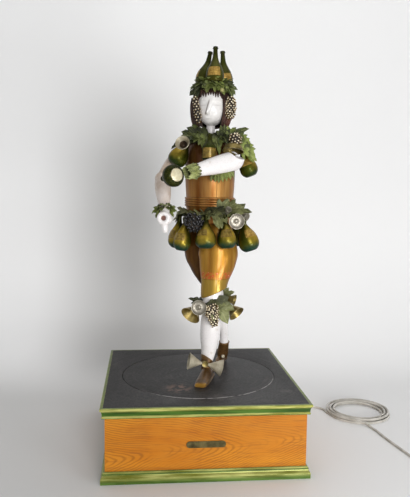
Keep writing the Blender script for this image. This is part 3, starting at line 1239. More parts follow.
def make_other_bottles():
    """Shoulder, chest, hand and crown bottles."""
    bottle("shoulder_bottle_l", (-0.099, -0.044, 0.565), (-0.052, -0.028, 0.64), 0.025, 0.086, "turntable",
           ["shoulder_bottle_left"], finish=SHOULDER_GREEN, label=(0.46, 0.6, 30, (-0.7, -1, 0.2), LABEL_OLD))
    bottle("shoulder_bottle_r", (0.1065, -0.031, 0.5385), (0.072, -0.018, 0.628), 0.0236, 0.09, "turntable",
           ["shoulder_bottle_right"], finish=SHOULDER_GREEN, label=(0.32, 0.5, 50, (-0.05, -1, 0), LABEL_GOLD))
    bottle("chest_bottle_fine", (-0.0125, -0.0855, 0.574), (-0.0105, -0.08, 0.644), 0.0176, 0.07, "turntable",
           ["chest_bottle"], STOUT, DARK_GREEN, (0.1, 0.46, 66, (-0.05, -1, 0), LABEL_OLD))
    to_foot = Vector((0.473, -0.864, 0.134)).normalized()
    foot = Vector((-0.1078, -0.179, 0.5342)) + to_foot * 0.0185
    bottle("hand_bottle_fine", foot, foot - to_foot, 0.0268, 0.066, "arm_left", ["hand_bottle"], finish=DARK_GREEN,
           label=(0.34, 0.56, 60, (-0.3, 0.2, 1), LABEL_GOLD), steps=56)
    disc = turned(mm((0, -0.7), (15.2, -0.7), (15.8, -0.3), (15.8, 0.4), (0, 0.4)), 48)
    uv = disc.loops.layers.uv.new("label")
    per_metre = 29
    for face in disc.faces:
        for loop in face.loops:
            loop[uv].uv = (0.5 + loop.vert.co.x * per_metre, 0.5 + loop.vert.co.y * per_metre)
    piece("hand_bottle_foot_disc", moved(disc, aimed(spot(*foot), -to_foot)), LABEL_CREAM, "arm_left")
    start = CROWN + 0.003 + 2.5 * TOUCH
    radius = 0.0238
    for name, x, y, lean_x, lean_y, length, label in (
            ("head_bottle_1", 0.0065, -0.0235, 0.002, 0.008, 0.093, (0.15, 0.4, 42, (-0.22, -1, 0), LABEL_GOLD)),
            ("head_bottle_2", -0.018, 0.0235, 0.018, 0.001, 0.08742, (0.15, 0.36, 46, (-1, 0.2, 0), LABEL_OLD)),
            ("head_bottle_3", 0.037, 0.022, -0.006, -0.004, 0.089745, (0.12, 0.34, 46, (0.05, -1, 0), LABEL_GOLD))):
        base = (x, y, NOD + start + radius * 0.88 * hypot(lean_x, lean_y) / length)
        tip = (x + lean_x, y + lean_y, base[2] + length)
        bottle(name + "_fine", base, tip, radius, length, "head_group", [name], TALL, CROWN_GREEN, label)


def cup_shell():
    """Tasting cup: hammered wall, domed boss and a rolled lip."""
    radius, depth = 0.0195, 0.009
    outer = ((0.0, 0.0), (0.6, 0.0), (0.86, 0.22), (0.96, 0.62), (0.985, 0.93), (1.0, 1.0))
    inner = ((0.965, 0.99), (0.93, 0.66), (0.82, 0.3), (0.58, 0.1), (0.34, 0.12), (0.24, 0.34), (0.14, 0.5),
             (0.0, 0.55))
    rows = [row for wall in (outer, inner) for row in eased([(r * radius, z * depth) for r, z in wall], 3)]
    bm = turned(rows, 56)
    for v in bm.verts:
        far = hypot(v.co.x, v.co.y) / radius
        if 0.4 < far < 0.97:
            v.co.z += 0.00012 * sin(16 * atan2(v.co.y, v.co.x)) * sin(pi * (far - 0.4) / 0.57)
    return bm


def make_cups_and_funnels():
    for name, stands, centre, facing in (
            ("hip_tasting_cup", "hip_cup", (0.0566, -0.1065, 0.4241), (0.05, -1.0, -0.05)),
            ("knee_tasting_cup", "knee_cup", (-0.0331, -0.086, 0.2), (-0.15, -1.0, 0.05))):
        piece(name, moved(cup_shell(), aimed(spot(*centre), facing)), SILVER, "turntable", [stands], smooth=60)
    for name, stands, spout, mouth, radius, finish in (
            ("knee_funnel_l", "knee_funnel_left", (-0.03, -0.04, 0.199), (-0.0545, -0.0655, 0.1735), 0.0272, BRASS),
            ("knee_funnel_r", "knee_funnel_right", (0.047, -0.04, 0.201), (0.069, -0.062, 0.1765), 0.023, BRASS),
            ("shoulder_funnel_fine", "shoulder_funnel", (-0.071, -0.061, 0.6085), (-0.0805, -0.089, 0.619), 0.0184,
             PEWTER),
            ("hip_funnel_a", None, (0.07, -0.048, 0.442), (0.0905, -0.07, 0.432), 0.0105, SILVER),
            ("hip_funnel_b", None, (0.032, -0.07, 0.437), (0.04, -0.09, 0.454), 0.0085, SILVER),
            ("knee_funnel_rear", None, (0.044, 0.04, 0.204), (0.0765, 0.026, 0.1975), 0.0155, OLD_BRASS)):
        way = spot(*mouth) - spot(*spout)
        flare = 0.85 if finish is BRASS else 1.0
        place = aimed(spot(*spout), way)
        shell = funnel_shell(radius, way.length, flare=flare)
        piece(name, moved(shell, place), finish, "turntable", [stands] if stands else (), smooth=60)
        if finish is PEWTER:
            neck, last = 0.28 * way.length, radius - 0.0022
            rows = [(0.0, neck + 0.001)] + [(0.003 + (last - 0.003) * (k / 12) ** flare,
                                              neck + 0.0012 + (way.length * 0.93 - neck) * k / 12) for k in range(7)]
            piece(name + "_lining", moved(turned(rows, 40), place), DARK_LINING, "turntable", smooth=60)
    rows = eased(mm((4.8, 0), (10, -0.6), (16, -2.2), (20.5, -5.5), (24, -10.5), (26.8, -18.5), (27.5, -20)), 3)
    rows += eased(mm((26.6, -20), (25.8, -18.5), (23, -11.2), (19.6, -6.4), (15.2, -3.2), (9.5, -1.6), (4.8, -1)), 3)
    dome = moved(turned(rows, 56, closed=True), aimed(spot(0.0512, -0.0765, 0.619), (0.1, 0.24, 0.95)))
    piece("shoulder_dome", dome, OLD_BRASS, "turntable", ["shoulder_cap"], smooth=60)


# Figure: arms

E_LEFT = Vector((0.05, -0.094, 0.5755))
W_LEFT = Vector((-0.052, -0.16, 0.548))
E_RIGHT = Vector((-0.1272, -0.004, 0.529))
W_RIGHT = Vector((-0.1224, -0.054, 0.4546))


def make_upper_arms():
    """Shoulder piece with the long right upper arm and the wire that holds the left elbow."""
    low = SHOULDER_FOOT
    level = low + 0.007
    plate = turned([(0, low), (0.0396, low), (0.0412, low + 0.001), (0.042, low + 0.005), (0.04, low + 0.0085),
                    (0.036, low + 0.0122), (0.033, SHOULDER_TOP), (0, SHOULDER_TOP)], 48)
    e = E_RIGHT
    right = limb([(-0.02, 0.0, level, 0.006), (-0.054, 0.006, level - 0.0002, 0.0064),
                  (-0.076, 0.014, level - 0.016, 0.01),
                  (-0.092, 0.014, level - 0.041, 0.013), (-0.1085, 0.008, e.z + 0.037, 0.0148),
                  (e.x + 0.004, e.y + 0.003, e.z + 0.01, 0.015)], 32)
    socket = ball(e, (0.0203,) * 3, 40, 28)
    right = cut(right, socket)
    left = limb([(0.018, -0.004, level, 0.006), (0.034, -0.04, level - 0.0002, 0.0062),
                 (0.0435, -0.056, level - 0.001, 0.0064),
                 (0.0495, -0.068, level - 0.006, 0.005), (0.0502, -0.0765, level - 0.014, 0.0036),
                 (0.0502, -0.087, level - 0.024, 0.003), (0.05, -0.0938, E_LEFT.z + 0.005, 0.0044)], 24)
    pin = moved(turned(mm((0, -20.5), (2.6, -20.5), (3, -20), (3, 17.5), (2.6, 18), (0, 18)),
                       16), aimed(spot(*E_LEFT), (-0.5432, 0.8396, 0), (0, 0, 1)))
    piece("shoulders", joined([moved(plate, UPRIGHT), right]), ARM_TAN, "turntable", ["shoulder_yoke"])
    piece("left_arm_hanger", joined([left, ball(E_LEFT, (0.0085,) * 3), pin]), OLD_BRASS, "turntable")


def make_left_forearm():
    """Forearm across the chest, open like a cup at the elbow where it hangs on its pin."""
    e, w = E_LEFT, W_LEFT
    axis = (w - e).normalized()
    rows = [(*(w + axis * 0.0015), 0.0085), (*(w + axis * 0.0006), 0.0125), (*w, 0.0143), (*w.lerp(e, 0.06), 0.0154),
            (*w.lerp(e, 0.22), 0.018), (*w.lerp(e, 0.45), 0.0212), (*w.lerp(e, 0.75), 0.0236), (*e, 0.024)]
    arm = limb(rows, 48)
    mouth = Vector((0.28, -0.22, 0.93)).normalized()
    place = aimed(spot(*e), mouth)
    bowl = turned(eased(mm((0, -24.6), (7.5, -23.8), (14.2, -20.5), (20, -14.2), (23.5, -6.5), (24.7, 1), (24.6, 7),
            (24, 11.2), (22.8, 12)), 3) + [(0, 0.012)], 56)
    pocket = turned(eased(mm((0, -20.5), (7, -19.5), (12.8, -16.5), (17.8, -10), (20.8, -2), (21.9, 5),
            (22.2, 20)), 3) + [(0, 0.02)], 56)
    hollow = cut(arm, moved(pocket.copy(), place))
    cup = cut(moved(bowl, place), moved(pocket, place))
    piece("forearm_l", joined([hollow, cup]), WHITE, "arm_left", ["forearm_left"], smooth=45)


def make_right_forearm():
    """Forearm that hangs forward to a curled hand with a round grip."""
    e, w = E_RIGHT, W_RIGHT
    axis = (w - e).normalized()
    arm = limb([(*(e + axis * 0.002), 0.0186), (*e.lerp(w, 0.12), 0.0205), (*e.lerp(w, 0.24), 0.0212),
                (*e.lerp(w, 0.5), 0.02), (*e.lerp(w, 0.8), 0.0165), (*w, 0.014), (*(w + axis * 0.01), 0.0124)], 40)
    piece("forearm_r", joined([arm, ball(e, (0.0195,) * 3, 36, 24)]), ARM_TAN, "arm_right", ["forearm_right"])
    hand = [ball((-0.1235, -0.068, 0.4295), (0.0182, 0.0125, 0.0185), 32, 22),
            limb([(*(w + axis * 0.002), 0.0122), (*(w + axis * 0.014), 0.0118), (-0.1236, -0.069, 0.433, 0.0125)], 24)]
    grip_place = aimed(spot(-0.1255, -0.08, 0.429), (-0.22, -1.0, 0.14))
    hand.append(moved(hoop(0.012, 0.0058, 0.0, 40, 0.006, 12), grip_place))
    hand.append(ball((-0.113, -0.076, 0.427), (0.0095, 0.01, 0.014), 24, 16))
    hand.append(limb(mm((-123.5, -75, 417, 10.5), (-122.6, -79, 409, 9.6), (-121.8, -80, 401, 8.2),
            (-121.4, -79, 393.5, 6)), 18, per=3))
    piece("hand_r", joined(hand), WHITE, "arm_right")
    palm = turned(mm((0, 0), (6.8, 0), (6.8, 1), (0, 1.4)), 28)
    piece("hand_r_grip", moved(palm, grip_place), GRIP, "arm_right")


# Figure: head and hair

def head_place():
    """From the head's own axes, whose origin is the nod's pivot, to the world."""
    return Matrix.Translation(spot(0, 0, NOD)) @ Matrix.Rotation(radians(HEAD_YAW), 4, "Z")


def bell(value, centre, width):
    """Soft hill of height one."""
    return exp(-((value - centre) / width) ** 2)


def make_neck():
    foot = SHOULDER_TOP + TOUCH
    rows = [(0, foot), (0.0126, foot), (0.0127, foot + 0.001), (0.0121, foot + 0.004), (0.0115, foot + 0.009)]
    radius = 0.0135
    rows += [(radius * cos(radians(a)), NOD + radius * sin(radians(a))) for a in range(-32, 90, 10)]
    rows.append((0, NOD + radius))
    piece("neck_post", moved(turned(rows, 40), UPRIGHT), WHITE, "neck_column", ["neck"])


def make_head():
    """Doll's head: square mask, wedge nose with one shaded side, lowered lids and a small mouth."""
    bm = sphere(144, 96)
    mark = bm.verts.layers.float.new("mark")
    warm = bm.verts.layers.float.new("warm")
    mid_x, mid_y, mid_z = 0.002, -0.005, 0.0377
    half_x, half_y, half_z = 0.0375, 0.04, 0.0505
    for v in bm.verts:
        x, y, z = v.co
        flat = hypot(x, y)
        if flat < 1e-6:
            v.co = Vector((mid_x, mid_y, mid_z + z * half_z))
            continue
        ux, uy = x / flat, y / flat
        up = max(0.0, z)
        low = max(0.0, -z)
        wide = sqrt(max(0.0, 1 - up ** 3.4)) * sqrt(max(0.0, 1 - low ** 3.0)) * (1 - 0.18 * low ** 3)
        deep = sqrt(max(0.0, 1 - up ** 2.4)) * sqrt(max(0.0, 1 - low ** 3.0)) * (1 - 0.06 * low ** 2)
        px = ux * wide * half_x * (1 + 0.1 * max(0.0, -uy) * abs(ux)) + mid_x
        py = uy * deep * half_y + mid_y
        pz = mid_z + z * half_z
        if uy < 0:
            front = min(1.0, -uy * 1.6)
            ridge = 0.0017 + (pz - 0.0497) * 0.25
            dx = px - ridge
            side = max(0.0, 1 + dx / 0.0042) if dx < 0 else max(0.0, 1 - dx / 0.0105)
            side = side * side * (3 - 2 * side)
            run = limited((0.056 - pz) / 0.038) * limited((pz - 0.0118) / 0.0045)
            nose = 0.0125 * side * run ** 1.15
            eye = bell(pz, 0.041, 0.0075) * (bell(px, -0.015, 0.0085) + bell(px, 0.0185, 0.009))
            lid = bell(pz, 0.0402, 0.0055) * (bell(px, -0.0155, 0.007) + bell(px, 0.0185, 0.0075))
            lips = bell(pz, 0.0035, 0.0026) * bell(px, -0.0025, 0.0085)
            part = bell(pz, 0.003, 0.0009) * bell(px, -0.0025, 0.0075)
            chin = bell(pz, -0.0065, 0.008) * bell(px, -0.001, 0.012)
            cheek = bell(pz, 0.021, 0.013) * (bell(px, -0.02, 0.009) + bell(px, 0.023, 0.01))
            py -= (nose + 0.0016 * lid - 0.0034 * eye + 0.0014 * lips - 0.001 * part + 0.0024 * chin
                   + 0.001 * cheek) * front
            crease = bell(pz, 0.0372 + 0.04 * abs(px) * 0.1, 0.0008)
            crease *= bell(px, -0.0165, 0.0078) + bell(px, 0.019, 0.0078)
            brow = bell(pz, 0.0505, 0.001) * (bell(px, -0.016, 0.008) + bell(px, 0.0195, 0.0085))
            flank = bell(dx, -0.003, 0.0015) * limited((0.053 - pz) / 0.006) * limited((pz - 0.012) / 0.004)
            v[mark] = min(1.0, 0.55 * crease + 0.25 * brow + 0.5 * part + 1.0 * flank) * front
            v[warm] = front * limited(-dx / 0.016) * limited((0.033 - pz) / 0.022) * 0.55
        v.co = Vector((px, py, pz))
    bmesh.ops.remove_doubles(bm, verts=bm.verts, dist=1e-6)
    faced(bm)
    radius = 0.0145
    dome = [(radius * cos(radians(a)), radius * sin(radians(a))) for a in (68, 46, 24, 2)]
    socket = turned([(0, radius)] + dome + [(radius, -0.002), (0.015, -0.009), (0.023, -0.04), (0, -0.04)], 32)
    whole = cut(moved(bm, head_place()), moved(socket, Matrix.Translation(spot(0, 0, NOD))))
    piece("doll_head", whole, FACE, "head_group", ["head"], smooth=70)


def lock(points, flat):
    """Strand along (x, y, z, half width) points of the head."""
    rows = eased(points, 4)
    centres = [Vector(r[:3]) for r in rows]
    last = len(rows) - 1
    return lofted([(p, r[3], r[3] * flat, centres[min(i + 1, last)] - centres[max(i - 1, 0)])
                   for i, (p, r) in enumerate(zip(centres, rows))], 10)


def make_hair():
    """Bobbed hair as a grooved shell, open at the face and under the head, with locks along its edges."""
    bm = sphere(120, 56)
    for v in bm.verts:
        x, y, z = v.co
        low = max(0.0, -z)
        flat = hypot(x, y)
        turn = atan2(y, x)
        if low > 0 and flat > 1e-6:
            fuller = sqrt(max(0.0, 1 - min(low, 0.999) ** 3)) / flat
            x, y = x * fuller, y * fuller
        groove = 1 + 0.012 * sin(30 * turn + 3 * z) * min(1.0, flat * 2) + 0.01 * sin(11 * turn - 2 * z)
        px = x * (0.059 if x > 0 else 0.052) * groove + 0.001
        py = y * 0.047 * groove + 0.008
        v.co = Vector((px, py, min(0.0915, 0.0422 + z * (0.066 if z > 0 else 0.062))))
    bmesh.ops.remove_doubles(bm, verts=bm.verts, dist=1e-6)
    outline = [(-0.017, -0.035), (0.021, -0.035), (0.036, 0.03), (0.0335, 0.0545), (0.022, 0.06), (-0.012, 0.0585),
               (-0.03, 0.0535), (-0.032, 0.03)]
    for one, other in ((7, 0), (2, 1), (7, 6), (2, 3), (6, 5), (5, 4), (4, 3)):
        (ax, az), (bx, bz) = outline[one], outline[other]
        front = [f for f in bm.faces if f.calc_center_median().y < 0.01]
        geom = front + once(e for f in front for e in f.edges) + once(v for f in front for v in f.verts)
        bmesh.ops.bisect_plane(bm, geom=geom, plane_co=(ax, 0, az), plane_no=(bz - az, 0, ax - bx), dist=1e-6)

    def left_out(co):
        """Whether a point is in the opening for the face or in the one under the head."""
        if co.z < -0.0185 and hypot(*co.xy) < 0.03:
            return True
        return co.y <= 0.008 and all((bx - ax) * (co.z - az) - (bz - az) * (co.x - ax) > 0
                                     for (ax, az), (bx, bz) in zip(outline, outline[1:] + outline[:1]))

    gone = [f for f in bm.faces if left_out(f.calc_center_median())]
    bmesh.ops.delete(bm, geom=gone, context="FACES")
    faced(bm)
    bmesh.ops.solidify(bm, geom=bm.faces[:], thickness=0.0035)
    piece("hair_bob", moved(bm, head_place()), HAIR, "head_group", ["wig"], smooth=60)
    locks = []
    for side in (-1, 1):
        edge = -0.033 if side < 0 else 0.037
        for k in range(5):
            x = edge + side * (0.001 + 0.0042 * k)
            y = -0.0345 + 0.0045 * k + 0.0006 * (k % 2)
            locks.append(lock(((x - side * 0.002, y + 0.004, 0.06, 0.0016), (x, y, 0.04, 0.0026),
                               (x - side * 0.001, y, 0.016, 0.0029), (x - side * 0.005, y + 0.001, -0.006, 0.0026),
                               (x - side * (0.008 + 0.001 * k), y + 0.005, -0.019, 0.001)), 0.7))
    for k in range(9):
        x = -0.022 + 0.0062 * k
        z = 0.0585 + 0.0016 * sin(k * 1.7)
        locks.append(lock(((x * 0.9 + 0.002, -0.0285, 0.086, 0.0024), (x, -0.0375, 0.072, 0.003),
                           (x * 1.02, -0.0405, z, 0.001)), 0.6))
    piece("hair_locks", moved(joined(locks), head_place()), HAIR, "head_group", smooth=60)


# Garlands

# Leaf outlines as (degrees from the tip, reach)
LEAF_RIM = {
    "vine": ((0, 1.0), (13, 0.8), (24, 0.58), (38, 0.82), (52, 0.66), (66, 0.44), (84, 0.56), (104, 0.42), (130, 0.3),
             (156, 0.22)),
    "slim": ((0, 1.0), (7, 0.84), (12, 0.66), (19, 0.56), (28, 0.36), (38, 0.3), (58, 0.17), (90, 0.11), (130, 0.1),
             (160, 0.1)),
}


def leaf_pattern(kind, fold, droop):
    """Leaf one unit long from its stalk along X: a lobed disc with a thin edge, folded on its rib."""
    rim = list(LEAF_RIM[kind])
    rim += [(360 - a, r) for a, r in reversed(rim[1:])]
    bm = bmesh.new()
    ring = bmesh.ops.create_circle(bm, cap_ends=True, cap_tris=True, segments=len(rim), radius=1.0)["verts"]
    spokes = [v for v in ring if v.co.length > 0.5]
    for v in ring:
        if v.co.length < 0.5:
            v.co = Vector((0.3, 0, 0))
    spokes.sort(key=lambda v: atan2(v.co.y, v.co.x) % (2 * pi))
    for v, (a, r) in zip(spokes, rim):
        v.co = Vector((r * cos(radians(a)), r * sin(radians(a)), 0))
    faced(bm)
    bmesh.ops.solidify(bm, geom=bm.faces[:], thickness=0.022)
    bm.verts.layers.float.new("tone")
    uv = bm.loops.layers.uv.new("leaf")
    for face in bm.faces:
        for loop in face.loops:
            loop[uv].uv = loop.vert.co.xy
    for v in bm.verts:
        x, y = v.co.xy
        v.co.z += fold * abs(y) - droop * max(x, 0) ** 2 + 0.05 * sin(9 * x + 5 * y)
    faced(bm)
    return mesh_from(bm, kind)


def bead_pattern():
    bm = sphere(10, 6)
    bm.verts.layers.float.new("tone")
    return mesh_from(bm, "bead")


PATTERNS = {"vine": leaf_pattern("vine", 0.32, 0.22), "slim": leaf_pattern("slim", 0.35, 0.15),
            "flat": leaf_pattern("vine", 0.12, 0.06), "bead": bead_pattern()}


class Garland:
    """Leaves or beads stamped into one mesh."""

    def __init__(self):
        self.bm = bmesh.new()
        for layer in ("tone", "dab"):
            self.bm.verts.layers.float.new(layer)
        self.hearts = []

    def stamp(self, kind, place, tone):
        start = len(self.bm.verts)
        self.bm.from_mesh(PATTERNS[kind])
        self.bm.verts.ensure_lookup_table()
        fresh = self.bm.verts[start:]
        layer, dab = (self.bm.verts.layers.float[name] for name in ("tone", "dab"))
        for v in fresh:
            v[layer] = tone
            v[dab] = v.co.z
        bmesh.ops.transform(self.bm, matrix=place, verts=fresh)

    def leaf(self, base, tip, face, tone=0.5, kind="vine", wide=1.0):
        """Leaf from one figure point to another, its upper side towards a direction."""
        start, end = spot(*base), spot(*tip)
        along = end - start
        length = along.length
        along.normalize()
        up = Vector(face) - along * Vector(face).dot(along)
        up.normalize()
        across = up.cross(along)
        turn = Matrix((along * length, across * length * wide, up * length)).transposed().to_4x4()
        self.stamp(kind, Matrix.Translation(start) @ turn, tone)

    def leaves(self, rows, broad=1.0, slim=1.0):
        """Leaves one by one: base and tip in millimetres, upper side, tone, and the kind of all but vine leaves."""
        for base, tip, face, tone, *kind in rows:
            self.leaf([c / 1000 for c in base], [c / 1000 for c in tip], face, tone, *kind or ["vine"],
                      slim if kind == ["slim"] else broad)

    def round(self, centre, radius, height, azimuth, pitch, length, tone):
        """Leaf that grows outwards from a ring; pitch is its fall below the level."""
        a, p = radians(azimuth), radians(pitch)
        out = Vector((cos(a), sin(a), 0))
        along = out * cos(p) - Vector((0, 0, sin(p)))
        base = Vector((centre[0], centre[1], height)) + out * radius
        self.leaf(base, base + along * length, out * sin(p) + Vector((0, 0, cos(p) + 0.15)), tone)

    def bead(self, at, radius, tone, outward=(0, -1, 0.3)):
        """Bead whose lightly dabbed side faces outwards."""
        self.stamp("bead", aimed(at, outward) @ Matrix.Diagonal((radius, radius, radius, 1)), tone)

    def bunch(self, top, way, out, length, radii, bead, flatten=0.6, spread=2.4):
        """Grapes in staggered rows over the skin of a hanging bunch, round a dark heart."""
        place = aimed(spot(*top), way, out)
        rows = max(3, round(length / (bead * spread * 0.86)))
        for k in range(rows):
            t = (k + 0.5) / rows
            s = t * (len(radii) - 1)
            i = min(int(s), len(radii) - 2)
            wide = radii[i] + (radii[i + 1] - radii[i]) * (s - i)
            count = max(3, round(2 * pi * wide * (1 + flatten) / 2 / (bead * spread)))
            for j in range(count):
                a = 2 * pi * (j + 0.5 * (k % 2)) / count + chance.uniform(-0.12, 0.12)
                near = wide * chance.uniform(0.82, 1.12)
                at = Vector((near * cos(a) * flatten, near * sin(a), length * t + chance.uniform(-0.5, 0.5) * bead))
                outward = place.to_3x3() @ Vector((at.x / flatten, at.y * 0.6, 0)) + Vector((0, 0, wide * 0.5))
                self.bead(place @ at, bead * chance.uniform(0.85, 1.12), chance.random(), outward)
        last = len(radii) - 1
        rows = [(place @ Vector((0, 0, -bead * 0.4)), 0.002 * flatten, 0.002, Vector(way))]
        for i, r in enumerate(radii):
            thin = max(0.0015, r - bead * 0.55)
            rows.append((place @ Vector((0, 0, length * (0.06 + 0.88 * i / last))), thin * flatten, thin, Vector(way)))
        rows.append((place @ Vector((0, 0, length * 0.985)), 0.0015, 0.0015, Vector(way)))
        heart = bmesh.new()
        loops = []
        for centre, wide, high, _ in rows:
            ring = bmesh.ops.create_circle(heart, segments=16, radius=1.0, matrix=Matrix.Translation(centre)
                                           @ place.to_3x3().to_4x4() @ Matrix.Diagonal((wide, high, 1, 1)))["verts"]
            loops.append(once(e for v in ring for e in v.link_edges))
        for low, high in zip(loops, loops[1:]):
            bmesh.ops.bridge_loops(heart, edges=low + high)
        bmesh.ops.holes_fill(heart, edges=heart.edges, sides=0)
        faced(heart)
        self.hearts.append(heart)

    def finish(self, name, finish, body, stands_for=()):
        if self.hearts:
            piece(name + "_heart", joined(self.hearts), BUNCH_HEART, body)
        return piece(name, self.bm, finish, body, stands_for, 50.0)


def make_head_garland():
    """Crown of leaves round the three bottles, with grapes beside the face."""
    z = NOD + CROWN
    centre = (0.006, 0.0)
    crown = Garland()
    for azimuth in range(0, 360, 30):
        length = 0.027 + 0.004 * (azimuth % 60 > 0)
        crown.round(centre, 0.026, z + 0.004, azimuth + 8, -38, length, chance.uniform(0.3, 0.8))
    for azimuth in range(0, 360, 27):
        crown.round(centre, 0.033, z + 0.003, azimuth, 8, 0.032, chance.uniform(0.25, 0.75))
    for azimuth in range(0, 360, 24):
        front = azimuth in range(216, 330)
        crown.round(centre, 0.036, z + 0.001, azimuth + 5, 56, 0.024 if front else 0.036, chance.uniform(0.15, 0.6))
    crown.leaves([((-30, -22, 774), (-50, -30, 753.3), (-6, -5, 6), 0.1)])
    crown.leaf((-0.032, -0.02, z - 0.006), (-0.0535, -0.026, 0.7275), (-0.8, -0.6, 0.2), 0.05, wide=0.8)
    crown.leaves((
        ((40, -20, 774), (65.5, -22, 753), (6, -6, 6), 0.45), ((36, -26, 775), (56, -40, 744), (5, -8, 3), 0.3),
        ((6, -34, 785), (30, -48, 770), (1, -7, 7), 0.95), ((0, -36, 779), (-19, -50, 764), (-2, -8, 6), 0.55),
        ((20, -36, 773), (30, -52, 748), (2, -10, 3), 0.62), ((-12, -36, 773), (-18, -52, 752), (-2, -10, 3), 0.35),
    ))
    crown.finish("crown_leaves", VINE, "head_group", ["head_garland"])
    gold = Garland()
    gold.bunch((0.0475, -0.042, z - 0.031), (-0.03, 0, -1), (0, -1, 0), 0.058, (0.007, 0.0125, 0.013, 0.012, 0.006),
               0.0026, 0.6)
    gold.finish("gold_grapes_at_cheek", GOLD_GRAPE, "head_group")
    dark = Garland()
    dark.bunch((-0.0455, -0.035, z - 0.03), (0.16, 0, -1), (0, -1, 0), 0.072, (0.004, 0.0075, 0.0085, 0.0075, 0.004),
               0.0022, 0.7, 3.6)
    dark.finish("dark_grapes_at_cheek", GOLD_GRAPE, "head_group")
    fruit = Garland()
    fruit.bead(spot(0.0225, -0.05, 0.756), 0.0062, 0.7)
    fruit.finish("crown_olive", OLIVE, "head_group")
    stems = joined([wire((0.036, -0.028, z + 0.002), (0.048, -0.042, z - 0.03)),
                    wire((-0.0265, -0.023, z + 0.002), (-0.043, -0.037, z - 0.038)),
                    moved(hoop(0.032, 0.0018, 0.0022), Matrix.Translation(spot(*centre, z)))])
    piece("crown_ring", stems, STEM, "head_group")


